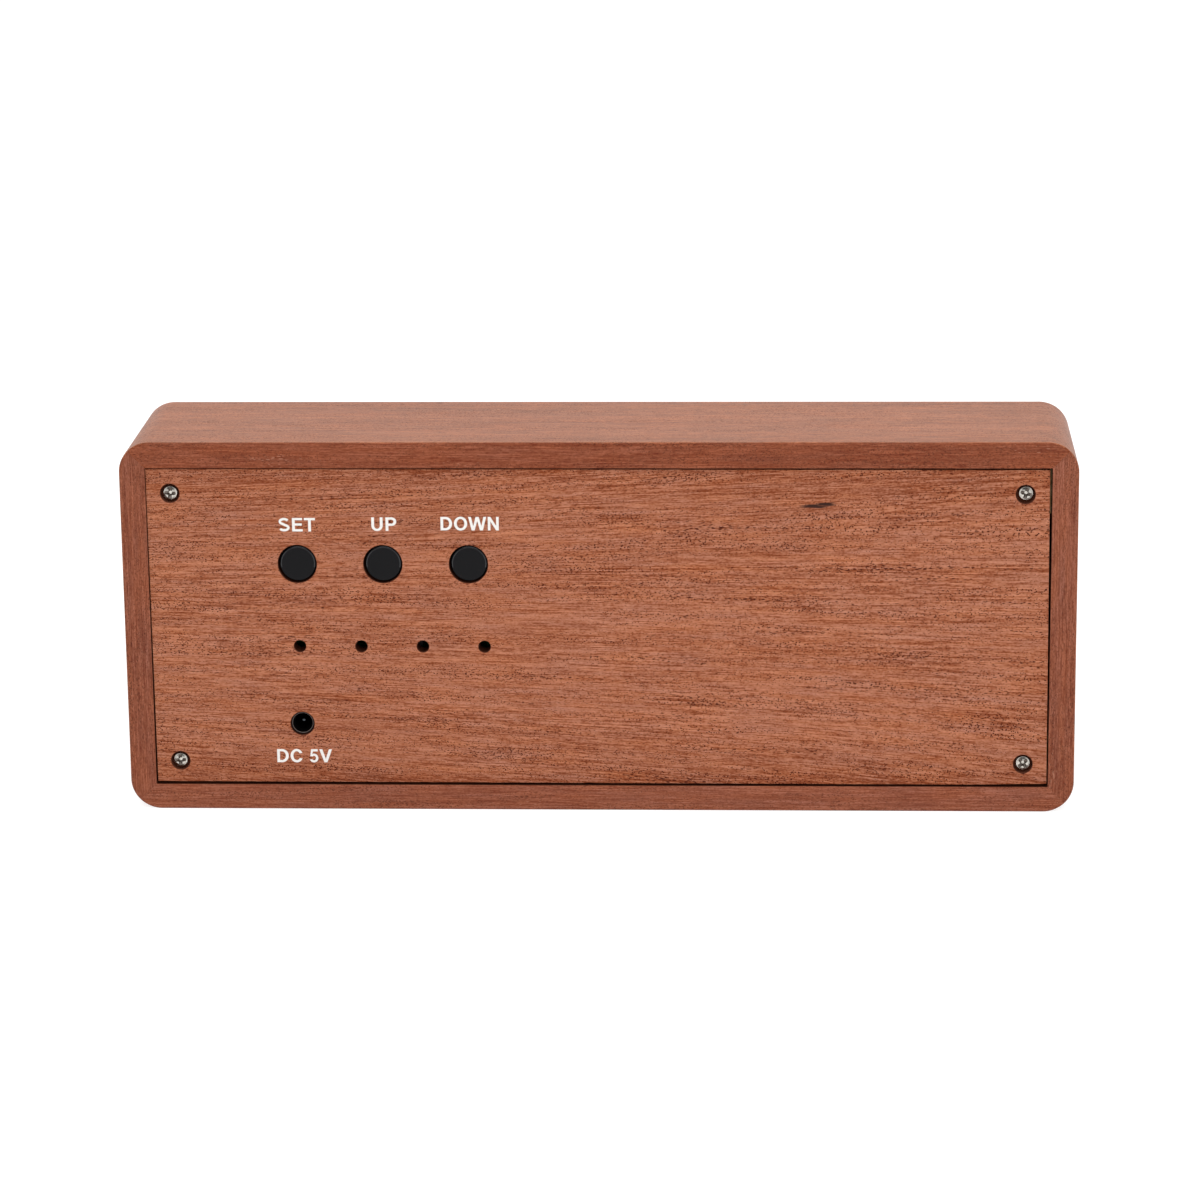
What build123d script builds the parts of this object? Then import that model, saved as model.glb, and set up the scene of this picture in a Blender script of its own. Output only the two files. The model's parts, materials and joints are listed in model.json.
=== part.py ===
from build123d import *
import math
import os

# Wooden block alarm clock, in millimetres, with +Z up.
# It stands on its base at Z = 0, with the origin under its middle.
# The face looks to -Y, the back panel to +Y, and +X is right as seen from the face.

# Case boards, mitred into a sleeve with rounded corners
case_width = 200.0
case_height = 80.0
case_depth = 40.0
board_thickness = 5.5
corner_radius = 6.5
board_edge_round = 0.5

# Face veneer and the light mask glued behind it
face_recess = 0.2
face_gap = 0.1
veneer_thickness = 0.5
mask_thickness = 3.0

# Seven-segment digits: windows in the mask and cells in the reflector
digit_width = 18.0
digit_height = 32.0
digit_stroke = 3.8
digit_pitch = 26.0
segment_gap = 1.0
colon_space = 12.0
colon_dot_diameter = 4.0
colon_dot_rise = 6.5

# Display stack behind the mask
diffuser_thickness = 0.5
reflector_depth = 7.0
reflector_border = 5.0
display_border = 6.0
led_length = 2.0
led_width = 1.25
led_height = 0.8
driver_offset = 36.0

# Back panel, sitting high in its opening so that the gap shows along the bottom
back_recess = 0.2
back_thickness = 4.0
back_side_gap = 0.35
back_top_gap = 0.15
back_bottom_gap = 0.7
back_edge_round = 0.2

# Screws of the back panel and the corner blocks that take them
screw_inset = 5.3
screw_head_diameter = 3.2
screw_head_height = 1.2
screw_head_round = 0.5
screw_shank_diameter = 1.7
screw_length = 10.0
screw_tip = 1.6
screw_sunk = 0.4
screw_head_clearance = 0.4
screw_hole_clearance = 0.15
screw_cross_length = 2.1
screw_cross_width = 0.55
screw_cross_depth = 0.7
screw_turns_degrees = (4.0, 24.0, 8.0, 52.0)
corner_block_length = 18.0

# Board screws and spacers, shared by both circuit boards
pcb_thickness = 1.6
board_screw_head_diameter = 3.8
board_screw_head_height = 1.4
board_screw_head_round = 0.5
board_screw_diameter = 2.0
board_screw_bite = 2.2
board_screw_tip = 0.8
board_cross_length = 2.4
board_cross_width = 0.6
board_cross_depth = 0.8
board_hole_clearance = 0.2
spacer_diameter = 5.0
pilot_clearance = 0.05
pilot_spare = 0.4

# Rows of features up the back panel as shares of the case height, and columns from the case side
button_row_share = 0.675
sound_row_share = 0.45125
jack_row_share = 0.23875
column_inset = 37.1
button_pitch = 18.0
sound_hole_pitch = 13.0
sound_hole_diameter = 2.5
sound_hole_count = 4

# Button caps
button_names = ("set", "up", "down")
button_diameter = 7.4
button_clearance = 0.35
button_proud = 0.1
button_edge_round = 0.3
button_flange_diameter = 10.0
button_flange_thickness = 1.0
button_flange_gap = 0.1
button_stem_diameter = 3.2

# Tact switches under the buttons
switch_width = 6.0
switch_body_height = 3.2
switch_cover_thickness = 0.3
switch_height = 5.0
switch_clearance = 0.15
plunger_diameter = 3.5
plunger_flange_diameter = 4.3
plunger_flange_thickness = 0.6
plunger_rest_gap = 0.05
dome_diameter = 4.2
dome_rise = 0.6
dome_thickness = 0.1
lead_width = 0.7
lead_thickness = 0.3
lead_rise = 1.0
lead_foot = 1.0
lead_pitch = 4.5

# Control board behind the buttons, hung on the back panel
control_gap = 9.0
control_side_margin = 14.0
control_middle_margin = 11.0
control_head_gap = 9.0
control_floor_gap = 2.6
control_hole_inset = 3.5

# DC jack for a barrel plug of 3.5 mm outside and 1.35 mm inside
jack_body_width = 7.6
jack_body_round = 0.5
jack_shoulder_gap = 0.2
jack_nose_diameter = 4.7
jack_nose_clearance = 0.15
jack_nose_sunk = 0.2
jack_mouth_diameter = 4.2
jack_mouth_depth = 1.5
jack_bore_diameter = 3.7
jack_bore_depth = 9.6
jack_pin_diameter = 1.3
jack_pin_root_diameter = 2.0
jack_pin_sunk = 1.9
jack_pin_round = 0.4
jack_pin_clearance = 0.02
jack_slot_width = 2.0
jack_slot_depth = 0.9
jack_slot_lid = 0.8
jack_spring_width = 1.6
jack_spring_thickness = 0.25
jack_spring_gap = 0.1

# Buzzer behind the sound holes
buzzer_diameter = 12.0
buzzer_height = 8.0
buzzer_wall = 0.8
buzzer_port_diameter = 2.5
buzzer_step = 0.5
buzzer_chamber = 1.6
buzzer_inner_gap = 0.05
buzzer_diaphragm_thickness = 0.2
buzzer_magnet_wall = 1.1
buzzer_base_thickness = 1.0
buzzer_core_diameter = 3.0
buzzer_core_gap = 0.4

# Backup coin cell in its holder
cell_diameter = 12.5
cell_thickness = 2.0
cell_can_step = 0.6
cell_can_rise = 1.4
cell_clearance = 0.2
holder_wall = 1.0
holder_floor = 0.8
holder_rim_drop = 0.4
clip_width = 5.0
clip_thickness = 0.3
cell_from_side = 16.1
cell_from_bottom = 12.4

# Chips, crystal and capacitor
chip_length = 17.9
chip_width = 7.5
chip_height = 2.3
chip_lead_count = 14
chip_lead_pitch = 1.27
chip_lead_width = 0.4
chip_lead_thickness = 0.3
chip_lead_reach = 1.4
crystal_length = 11.0
crystal_width = 4.6
crystal_height = 3.5
crystal_round = 1.5
crystal_drop = 11.0
capacitor_diameter = 6.3
capacitor_height = 7.0
capacitor_round = 0.5
capacitor_edge = 2.5

# Ribbon cable and its two connectors
ribbon_width = 10.0
ribbon_thickness = 0.9
ribbon_run = 40.0
ribbon_lead_share = 0.25
ribbon_tangent_share = 0.45
ribbon_insertion = 2.0
ribbon_slot_clearance = 0.1
connector_length = 14.0
connector_depth = 5.0
connector_height = 3.6
connector_edge = 2.0

# Every cut runs past its solid by this much
overrun = 1.0

# Stations along Y, from the face to the back
front = -case_depth / 2
back = case_depth / 2
veneer_front = front + face_recess
veneer_back = veneer_front + veneer_thickness
mask_back = veneer_back + mask_thickness
diffuser_back = mask_back + diffuser_thickness
reflector_back = diffuser_back + reflector_depth
display_back = reflector_back + pcb_thickness
panel_back = back - back_recess
panel_front = panel_back - back_thickness
control_back = panel_front - control_gap
control_front = control_back - pcb_thickness
screw_seat = panel_back - screw_sunk - screw_head_height

# Opening of the sleeve, and places in the XZ plane as (x, z)
opening_width = case_width - 2 * board_thickness
opening_low = board_thickness
opening_high = case_height - board_thickness
middle_height = case_height / 2
button_row = case_height * button_row_share
sound_row = case_height * sound_row_share
jack_row = case_height * jack_row_share
column_x = case_width / 2 - column_inset
button_places = {
    name: (column_x - number * button_pitch, button_row) for number, name in enumerate(button_names)
}
sound_places = [(column_x - number * sound_hole_pitch, sound_row) for number in range(sound_hole_count)]
jack_place = (column_x, jack_row)
buzzer_place = ((sound_places[0][0] + sound_places[-1][0]) / 2, sound_row)
screw_x = opening_width / 2 - screw_inset
screw_low = opening_low + screw_inset
screw_high = opening_high - screw_inset
screw_places = {
    "top_right": (screw_x, screw_high),
    "top_left": (-screw_x, screw_high),
    "bottom_right": (screw_x, screw_low),
    "bottom_left": (-screw_x, screw_low),
}

# Display: digits about the middle, and the board with its corner holes
digit_places = [
    (side * (colon_space / 2 + (order + 1 / 2) * digit_pitch), middle_height)
    for side in (-1, 1)
    for order in (0, 1)
]
colon_places = [(0, middle_height + side * colon_dot_rise) for side in (-1, 1)]
digits_width = colon_space + 3 * digit_pitch + digit_width
reflector_width = digits_width + 2 * reflector_border
reflector_height = digit_height + 2 * reflector_border
display_width = reflector_width + 2 * display_border
display_height = reflector_height + 2 * display_border
display_holes = [
    (x * (display_width - display_border) / 2, middle_height + z * (display_height - display_border) / 2)
    for x in (-1, 1)
    for z in (-1, 1)
]

# Control board: edges and corner holes
last_column_x = button_places[button_names[-1]][0]
control_x = (last_column_x - control_middle_margin, column_x + control_side_margin)
control_z = (opening_low + control_floor_gap, opening_high - control_head_gap)
control_holes = [
    (x, z)
    for x in (control_x[0] + control_hole_inset, control_x[1] - control_hole_inset)
    for z in (control_z[0] + control_hole_inset, control_z[1] - control_hole_inset)
]
board_hole_diameter = board_screw_diameter + 2 * board_hole_clearance
board_pilot_diameter = board_screw_diameter + 2 * pilot_clearance


def span(middle, size):
    """Low and high end of a size about its middle."""
    return middle - size / 2, middle + size / 2


def block(x, y, z):
    """Box between the low and high ends given for each axis."""
    sizes = [high - low for low, high in (x, y, z)]
    middles = [(low + high) / 2 for low, high in (x, y, z)]
    return Pos(*middles) * Box(*sizes)


def rod(place, y, diameter):
    """Round bar along Y at an (x, z) place, between two stations."""
    low, high = min(y), max(y)
    return Pos(place[0], (low + high) / 2, place[1]) * Rot(90, 0, 0) * Cylinder(diameter / 2, high - low)


def tube(place, y, outer, inner):
    """Round bar with a bore right through it."""
    return rod(place, y, outer) - rod(place, (min(y) - overrun, max(y) + overrun), inner)


def plate(outline, y):
    """Sketch in the XZ plane made solid between two stations of Y."""
    solid = extrude(Plane.XZ * outline, (max(y) - min(y)) / 2, both=True)
    return Pos(0, (min(y) + max(y)) / 2, 0) * solid


def end_rim(solid, way):
    """Edges of the outer rim of the face furthest along Y, on the side given by way."""
    face = solid.faces().sort_by(Axis.Y)[-1 if way > 0 else 0]
    return face.outer_wire().edges()


def case_boards():
    """Four mitred boards cut from one rounded sleeve."""
    outline = Pos(0, middle_height) * RectangleRounded(case_width, case_height, corner_radius)
    sleeve = plate(outline, (front, back))
    sleeve = fillet(end_rim(sleeve, 1) + end_rim(sleeve, -1), board_edge_round)
    opening = (span(0, opening_width), (front - overrun, back + overrun), (opening_low, opening_high))
    sleeve -= block(*opening)
    side = case_width / 2
    left_ridge = (middle_height - side, middle_height)
    right_ridge = (side - middle_height, middle_height)
    wedges = {
        "top_board": ((-side, case_height), (side, case_height), right_ridge, left_ridge),
        "bottom_board": ((-side, 0), (side, 0), right_ridge, left_ridge),
        "right_board": ((side, 0), (side, case_height), right_ridge),
        "left_board": ((-side, 0), (-side, case_height), left_ridge),
    }
    reach = (front - overrun, back + overrun)
    return {name: sleeve & plate(Polygon(*corners), reach) for name, corners in wedges.items()}


def segment(place, length, upright):
    """Pointed bar of a digit, as a sketch in the XZ plane."""
    half = length / 2
    nib = digit_stroke / 2
    shoulder = half - nib
    corners = [(half, 0), (shoulder, nib), (-shoulder, nib), (-half, 0), (-shoulder, -nib), (shoulder, -nib)]
    return Pos(*place) * Rot(0, 0, 90 if upright else 0) * Polygon(*corners)


def segment_layout():
    """Place, length and direction of every bar of the four digits."""
    across = digit_width - digit_stroke
    down = (digit_height - digit_stroke) / 2
    bars = []
    for x, z in digit_places:
        bars += [((x, z + row * down), across - segment_gap, False) for row in (-1, 0, 1)]
        bars += [
            ((x + side * across / 2, z + row * down / 2), down - segment_gap, True)
            for side in (-1, 1)
            for row in (-1, 1)
        ]
    return bars


def light_windows(y):
    """Solids of all bars and both colon dots between two stations, for cutting."""
    bars = [plate(segment(*bar), y) for bar in segment_layout()]
    dots = [rod(place, y, colon_dot_diameter) for place in colon_places]
    return bars + dots


def face_sheet(y):
    """Sheet that fills the opening of the sleeve but for its glue gap."""
    return block(
        span(0, opening_width - 2 * face_gap), y, (opening_low + face_gap, opening_high - face_gap)
    )


def light_mask():
    """Opaque sheet with the digit windows, and blind pilots for the display screws."""
    mask = face_sheet((veneer_back, mask_back))
    mask -= light_windows((veneer_back - overrun, mask_back + overrun))
    bottom = mask_back - board_screw_bite - pilot_spare
    return mask - [rod(place, (bottom, mask_back + overrun), board_pilot_diameter) for place in display_holes]


def reflector_block():
    """White block with one light cell for each bar and dot."""
    size = (span(0, reflector_width), (diffuser_back, reflector_back), span(middle_height, reflector_height))
    return block(*size) - light_windows((diffuser_back - overrun, reflector_back + overrun))


def display_board():
    """Circuit board that closes the light cells, with four screw holes."""
    size = (span(0, display_width), (reflector_back, display_back), span(middle_height, display_height))
    reach = (reflector_back - overrun, display_back + overrun)
    return block(*size) - [rod(place, reach, board_hole_diameter) for place in display_holes]


def led_chips():
    """One light-emitting chip at the bottom of each cell."""
    y = (reflector_back - led_height, reflector_back)
    places = [(place, upright) for place, _, upright in segment_layout()]
    places += [(place, False) for place in colon_places]
    chips = []
    for (x, z), upright in places:
        along, across = (led_width, led_length) if upright else (led_length, led_width)
        chips.append(block(span(x, along), y, span(z, across)))
    return chips


def screw(place, seat, way, head, shank, cross, turn):
    """Cross-recess tapping screw, with its head on the side of the seat given by way."""
    head_diameter, head_height, head_round = head
    shank_diameter, length, tip = shank
    cross_length, cross_width, cross_depth = cross
    top = seat + way * head_height
    body = rod(place, (seat, top), head_diameter)
    body = fillet(end_rim(body, way), head_round)
    neck = seat - way * (length - tip)
    body += rod(place, (seat, neck), shank_diameter)
    point = Rot(way * 90, 0, 0) * Cone(shank_diameter / 2, 0, tip)
    body += Pos(place[0], neck - way * tip / 2, place[1]) * point
    bottom = top - way * cross_depth
    past = top + way * overrun
    for arm in (turn, turn + 90):
        bar = block(span(0, cross_length), (min(bottom, past), max(bottom, past)), span(0, cross_width))
        body -= Pos(place[0], 0, place[1]) * Rot(0, arm, 0) * bar
    return body


def panel_screws():
    """The four screws of the back panel, each stopped at its own turn."""
    head = (screw_head_diameter, screw_head_height, screw_head_round)
    shank = (screw_shank_diameter, screw_length, screw_tip)
    cross = (screw_cross_length, screw_cross_width, screw_cross_depth)
    return [
        screw(place, screw_seat, 1, head, shank, cross, turn)
        for place, turn in zip(screw_places.values(), screw_turns_degrees)
    ]


def board_screws(places, seat, way, stack):
    """Screws through a board and its spacers, into the wood beyond a stack of the given height."""
    head = (board_screw_head_diameter, board_screw_head_height, board_screw_head_round)
    shank = (board_screw_diameter, stack + board_screw_bite, board_screw_tip)
    cross = (board_cross_length, board_cross_width, board_cross_depth)
    return [screw(place, seat, way, head, shank, cross, 0) for place in places]


def spacers(places, y):
    """Plain tubes between a board and the wood that it hangs on."""
    return [tube(place, y, spacer_diameter, board_hole_diameter) for place in places]


def corner_block(place):
    """Square glue block in a corner of the sleeve, with a pilot for the panel's screw."""
    side = 2 * screw_inset
    size = (span(place[0], side), (panel_front - corner_block_length, panel_front), span(place[1], side))
    bottom = screw_seat - screw_length - pilot_spare
    pilot = rod(place, (bottom, panel_front + overrun), screw_shank_diameter + 2 * pilot_clearance)
    return block(*size) - pilot


def back_panel():
    """Panel with counterbored screw holes, button, sound and socket holes, and blind pilots inside."""
    x = span(0, opening_width - 2 * back_side_gap)
    z = (opening_low + back_bottom_gap, opening_high - back_top_gap)
    panel = block(x, (panel_front, panel_back), z)
    panel = fillet(end_rim(panel, 1), back_edge_round)
    through = (panel_front - overrun, panel_back + overrun)
    holes = [rod(place, through, button_diameter + 2 * button_clearance) for place in button_places.values()]
    holes += [rod(place, through, sound_hole_diameter) for place in sound_places]
    holes.append(rod(jack_place, through, jack_nose_diameter + 2 * jack_nose_clearance))
    for place in screw_places.values():
        holes.append(rod(place, through, screw_shank_diameter + 2 * screw_hole_clearance))
        bore = screw_head_diameter + 2 * screw_head_clearance
        holes.append(rod(place, (screw_seat, panel_back + overrun), bore))
    pilot_end = panel_front + board_screw_bite + pilot_spare
    for place in control_holes:
        holes.append(rod(place, (panel_front - overrun, pilot_end), board_pilot_diameter))
    return panel - holes


def button_cap(place):
    """Flanged cap that stands in the panel's hole, with a stem that rests on its switch."""
    flange_back = panel_front - button_flange_gap
    flange_front = flange_back - button_flange_thickness
    cap = rod(place, (flange_back, panel_back + button_proud), button_diameter)
    cap = fillet(end_rim(cap, 1), button_edge_round)
    cap += rod(place, (flange_front, flange_back), button_flange_diameter)
    return cap + rod(place, (control_back + switch_height, flange_front), button_stem_diameter)


def tact_switch(place):
    """Body, cover, plunger and snap dome of one switch on the control board."""
    x = span(place[0], switch_width)
    z = span(place[1], switch_width)
    body_top = control_back + switch_body_height
    cover_top = body_top + switch_cover_thickness
    flange_top = body_top - plunger_rest_gap
    flange_low = flange_top - plunger_flange_thickness
    dome_top = flange_low - plunger_rest_gap
    dome_floor = dome_top - dome_rise
    well = plunger_flange_diameter + 2 * switch_clearance
    body = block(x, (control_back, body_top), z) - rod(place, (dome_floor, body_top + overrun), well)
    guide = rod(place, (body_top - overrun, cover_top + overrun), plunger_diameter + 2 * switch_clearance)
    cover = block(x, (body_top, cover_top), z) - guide
    plunger = rod(place, (flange_low, flange_top), plunger_flange_diameter)
    plunger += rod(place, (flange_top, control_back + switch_height), plunger_diameter)
    radius = ((dome_diameter / 2) ** 2 + dome_rise**2) / (2 * dome_rise)
    shell = Pos(place[0], dome_top - radius, place[1]) * (Sphere(radius) - Sphere(radius - dome_thickness))
    dome = shell & rod(place, (dome_floor, dome_top + overrun), dome_diameter)
    return {"body": body, "cover": cover, "plunger": plunger, "dome": dome}


def switch_leads():
    """Four bent leads for each switch: a foot on the board and an upright against the body."""
    leads = []
    for x, z in button_places.values():
        for side in (-1, 1):
            wall = x + side * switch_width / 2
            skin = wall + side * lead_thickness
            toe = wall + side * lead_foot
            for row in (-1, 1):
                width = span(z + row * lead_pitch / 2, lead_width)
                foot_y = (control_back, control_back + lead_thickness)
                foot = block((min(wall, toe), max(wall, toe)), foot_y, width)
                upright_y = (control_back, control_back + lead_rise)
                leads.append(foot + block((min(wall, skin), max(wall, skin)), upright_y, width))
    return leads


def control_board():
    """Circuit board behind the buttons, with four screw holes."""
    board = block(control_x, (control_front, control_back), control_z)
    reach = (control_front - overrun, control_back + overrun)
    return board - [rod(place, reach, board_hole_diameter) for place in control_holes]


def dc_jack():
    """Housing with its nose in the panel, centre pin and side spring of the barrel socket."""
    x, z = jack_place
    shoulder = panel_front - jack_shoulder_gap
    mouth = panel_back - jack_nose_sunk
    floor = mouth - jack_bore_depth
    housing = block(span(x, jack_body_width), (control_back, shoulder), span(z, jack_body_width))
    housing = fillet(housing.edges().filter_by(Axis.Y), jack_body_round)
    housing += rod(jack_place, (shoulder, mouth), jack_nose_diameter)
    root_bore = jack_pin_root_diameter + 2 * jack_pin_clearance
    slot_end = x + jack_bore_diameter / 2 + jack_slot_depth
    slot_top = shoulder - jack_slot_lid
    housing -= [
        rod(jack_place, (floor, mouth + overrun), jack_bore_diameter),
        rod(jack_place, (mouth - jack_mouth_depth, mouth + overrun), jack_mouth_diameter),
        rod(jack_place, (control_back - overrun, floor + overrun), root_bore),
        block((x, slot_end), (floor, slot_top), span(z, jack_slot_width)),
    ]
    tip = mouth - jack_pin_sunk
    pin = fillet(end_rim(rod(jack_place, (floor, tip), jack_pin_diameter), 1), jack_pin_round)
    pin += rod(jack_place, (control_back, floor), jack_pin_root_diameter)
    rear = slot_end - jack_spring_thickness / 2 - jack_spring_gap
    crown = x + jack_bore_diameter / 2 + jack_spring_thickness / 2
    bend = Polyline((rear, floor), (crown, (floor + slot_top) / 2), (rear, slot_top - jack_spring_gap))
    strip = extrude(trace(bend, jack_spring_thickness), jack_spring_width / 2, both=True)
    level = block((x, slot_end), (floor, slot_top - jack_spring_gap / 2), span(0, jack_slot_width))
    spring = Pos(0, 0, z) * (strip & level)
    return {"dc_jack_housing": housing, "dc_jack_pin": pin, "dc_jack_spring": spring}


def buzzer():
    """Can with a sound port, and the diaphragm, ring magnet and cored base inside it."""
    top = control_back + buzzer_height
    bore = buzzer_diameter - 2 * buzzer_wall
    ledge = top - buzzer_wall - buzzer_chamber
    fill = bore - 2 * buzzer_inner_gap
    can = rod(buzzer_place, (control_back, top), buzzer_diameter)
    can -= [
        rod(buzzer_place, (control_back - overrun, ledge), bore),
        rod(buzzer_place, (ledge - overrun, top - buzzer_wall), bore - 2 * buzzer_step),
        rod(buzzer_place, (ledge, top + overrun), buzzer_port_diameter),
    ]
    disc_low = ledge - buzzer_diaphragm_thickness
    base_top = control_back + buzzer_base_thickness
    base = rod(buzzer_place, (control_back, base_top), fill)
    base += rod(buzzer_place, (base_top, disc_low - buzzer_core_gap), buzzer_core_diameter)
    return {
        "buzzer_case": can,
        "buzzer_diaphragm": rod(buzzer_place, (disc_low, ledge), fill),
        "buzzer_magnet": tube(buzzer_place, (base_top, disc_low), fill, fill - 2 * buzzer_magnet_wall),
        "buzzer_base": base,
    }


def backup_cell():
    """Coin cell, the round holder that it drops into and the steel clip across it."""
    place = (control_x[0] + cell_from_side, control_z[0] + cell_from_bottom)
    floor = control_back + holder_floor
    cell_top = floor + cell_thickness
    pocket = cell_diameter + 2 * cell_clearance
    outside = pocket + 2 * holder_wall
    holder = rod(place, (control_back, cell_top - holder_rim_drop), outside)
    holder -= rod(place, (floor, cell_top + overrun), pocket)
    cell = rod(place, (floor, cell_top - cell_can_rise), cell_diameter - 2 * cell_can_step)
    cell += rod(place, (cell_top - cell_can_rise, cell_top), cell_diameter)
    width = span(place[1], clip_width)
    reach = outside / 2 + clip_thickness
    bridge_y = (cell_top, cell_top + clip_thickness)
    clip = block(span(place[0], 2 * reach), bridge_y, width)
    for side in (-1, 1):
        leg_x = span(place[0] + side * (reach - clip_thickness / 2), clip_thickness)
        clip += block(leg_x, (control_back, cell_top), width)
    return {"backup_cell": cell, "cell_holder": holder, "cell_clip": clip}


def chip(place, face, way):
    """Flat chip with a row of bent leads along each long side, on a board face that looks along way."""
    x, z = place
    top = face + way * chip_height
    belt = face + way * chip_height / 2
    rise = chip_lead_thickness
    package = block(span(x, chip_length), (min(face, top), max(face, top)), span(z, chip_width))
    leads = []
    for number in range(chip_lead_count):
        lead_x = span(x + (number - (chip_lead_count - 1) / 2) * chip_lead_pitch, chip_lead_width)
        for side in (-1, 1):
            wall = z + side * chip_width / 2
            toe = wall + side * chip_lead_reach
            knee = wall + side * chip_lead_reach / 2
            skin = knee - side * rise
            arm_y = (min(belt, belt - way * rise), max(belt, belt - way * rise))
            leg_y = (min(face, belt), max(face, belt))
            foot_y = (min(face, face + way * rise), max(face, face + way * rise))
            leads.append(block(lead_x, arm_y, (min(wall, knee), max(wall, knee))))
            leads.append(block(lead_x, leg_y, (min(skin, knee), max(skin, knee))))
            leads.append(block(lead_x, foot_y, (min(skin, toe), max(skin, toe))))
    return package + leads


def crystal():
    """Low metal can on the control board, under the microcontroller."""
    x, z = buzzer_place
    can = block(
        span(x, crystal_length),
        (control_front - crystal_height, control_front),
        span(z - crystal_drop, crystal_width),
    )
    return fillet(can.edges().filter_by(Axis.Y), crystal_round)


def capacitor():
    """Supply capacitor standing beside the jack."""
    place = (control_x[1] - capacitor_edge - capacitor_diameter / 2, (sound_row + jack_row) / 2)
    can = rod(place, (control_back, control_back + capacitor_height), capacitor_diameter)
    return fillet(end_rim(can, 1), capacitor_round)


def ribbon():
    """Flat cable in one gentle double bend between the boards, with a connector at each end."""
    control_face = control_x[0] + connector_edge
    display_face = control_face - ribbon_run
    display_y = display_back + connector_height / 2
    control_y = control_front - connector_height / 2
    lead = ribbon_run * ribbon_lead_share
    route = [
        (display_face - ribbon_insertion, display_y),
        (display_face + lead, display_y),
        (control_face - lead, control_y),
        (control_face + ribbon_insertion, control_y),
    ]
    turn = math.atan2(control_y - display_y, ribbon_run - 2 * lead)
    radius = ribbon_tangent_share * (lead + ribbon_insertion) / math.tan(turn / 2)
    print(f"ribbon bend radius {radius:.1f} mm")
    path = FilletPolyline(*route, radius=radius)
    cable = Pos(0, 0, middle_height) * extrude(trace(path, ribbon_thickness), ribbon_width / 2, both=True)
    slot_y = ribbon_thickness + 2 * ribbon_slot_clearance
    slot_z = ribbon_width + 2 * ribbon_slot_clearance
    shells = {}
    for name, mouth, way, y in (
        ("display_connector", display_face, -1, display_y),
        ("control_connector", control_face, 1, control_y),
    ):
        rear = mouth + way * connector_depth
        shell = block(
            (min(mouth, rear), max(mouth, rear)),
            span(y, connector_height),
            span(middle_height, connector_length),
        )
        bottom = mouth + way * ribbon_insertion
        past = mouth - way * overrun
        shells[name] = shell - block(
            (min(bottom, past), max(bottom, past)), span(y, slot_y), span(middle_height, slot_z)
        )
    return {"ribbon_cable": cable, **shells}


def clock_nodes():
    """Every piece of the clock under its node name."""
    nodes = case_boards()
    nodes["face_veneer"] = face_sheet((veneer_front, veneer_back))
    nodes["light_mask"] = light_mask()
    nodes["back_panel"] = back_panel()
    nodes["back_panel_screws"] = panel_screws()
    for corner, place in screw_places.items():
        nodes[f"{corner}_corner_block"] = corner_block(place)

    film_size = (span(0, reflector_width), (mask_back, diffuser_back), span(middle_height, reflector_height))
    nodes["diffuser_film"] = block(*film_size)
    nodes["reflector_block"] = reflector_block()
    nodes["display_board"] = display_board()
    nodes["led_chips"] = led_chips()
    nodes["display_driver"] = chip((driver_offset, middle_height), display_back, 1)
    nodes["display_spacers"] = spacers(display_holes, (mask_back, reflector_back))
    display_stack = display_back - mask_back
    nodes["display_screws"] = board_screws(display_holes, display_back, 1, display_stack)

    nodes["control_board"] = control_board()
    nodes["control_spacers"] = spacers(control_holes, (control_back, panel_front))
    control_stack = panel_front - control_front
    nodes["control_screws"] = board_screws(control_holes, control_front, -1, control_stack)
    for name, place in button_places.items():
        nodes[f"{name}_button"] = button_cap(place)
        for piece, solid in tact_switch(place).items():
            nodes[f"{name}_switch_{piece}"] = solid
    nodes["switch_leads"] = switch_leads()

    nodes.update(dc_jack())
    nodes.update(buzzer())
    nodes.update(backup_cell())
    nodes["microcontroller"] = chip(buzzer_place, control_front, -1)
    nodes["crystal"] = crystal()
    nodes["capacitor"] = capacitor()
    nodes.update(ribbon())
    return nodes


os.makedirs("parts", exist_ok=True)
for node, shape in clock_nodes().items():
    if isinstance(shape, list):
        shape = Compound(children=shape)
    export_step(shape, f"parts/{node}.step")
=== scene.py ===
import json
import math

import bmesh
import bpy
from mathutils import Matrix, Vector, noise


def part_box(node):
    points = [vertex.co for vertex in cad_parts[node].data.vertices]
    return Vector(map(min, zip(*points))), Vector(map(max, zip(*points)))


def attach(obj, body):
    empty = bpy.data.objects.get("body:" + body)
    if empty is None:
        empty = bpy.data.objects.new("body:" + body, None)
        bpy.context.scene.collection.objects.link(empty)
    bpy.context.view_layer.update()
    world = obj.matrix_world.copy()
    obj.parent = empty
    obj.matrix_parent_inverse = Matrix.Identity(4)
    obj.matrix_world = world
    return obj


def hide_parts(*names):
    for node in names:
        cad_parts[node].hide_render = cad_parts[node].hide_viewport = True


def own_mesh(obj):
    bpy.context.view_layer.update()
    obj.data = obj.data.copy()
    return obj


# Wooden alarm clock seen from its back. Lengths are in metres, and the clock's own are millimetres times mm.
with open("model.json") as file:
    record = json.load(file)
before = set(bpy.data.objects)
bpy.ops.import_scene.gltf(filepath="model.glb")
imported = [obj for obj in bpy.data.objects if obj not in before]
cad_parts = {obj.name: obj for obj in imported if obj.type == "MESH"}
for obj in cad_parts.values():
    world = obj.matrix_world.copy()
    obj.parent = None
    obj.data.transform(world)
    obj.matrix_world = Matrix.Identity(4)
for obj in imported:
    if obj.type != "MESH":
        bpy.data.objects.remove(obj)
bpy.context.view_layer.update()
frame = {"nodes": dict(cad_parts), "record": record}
mm = 0.001

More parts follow.
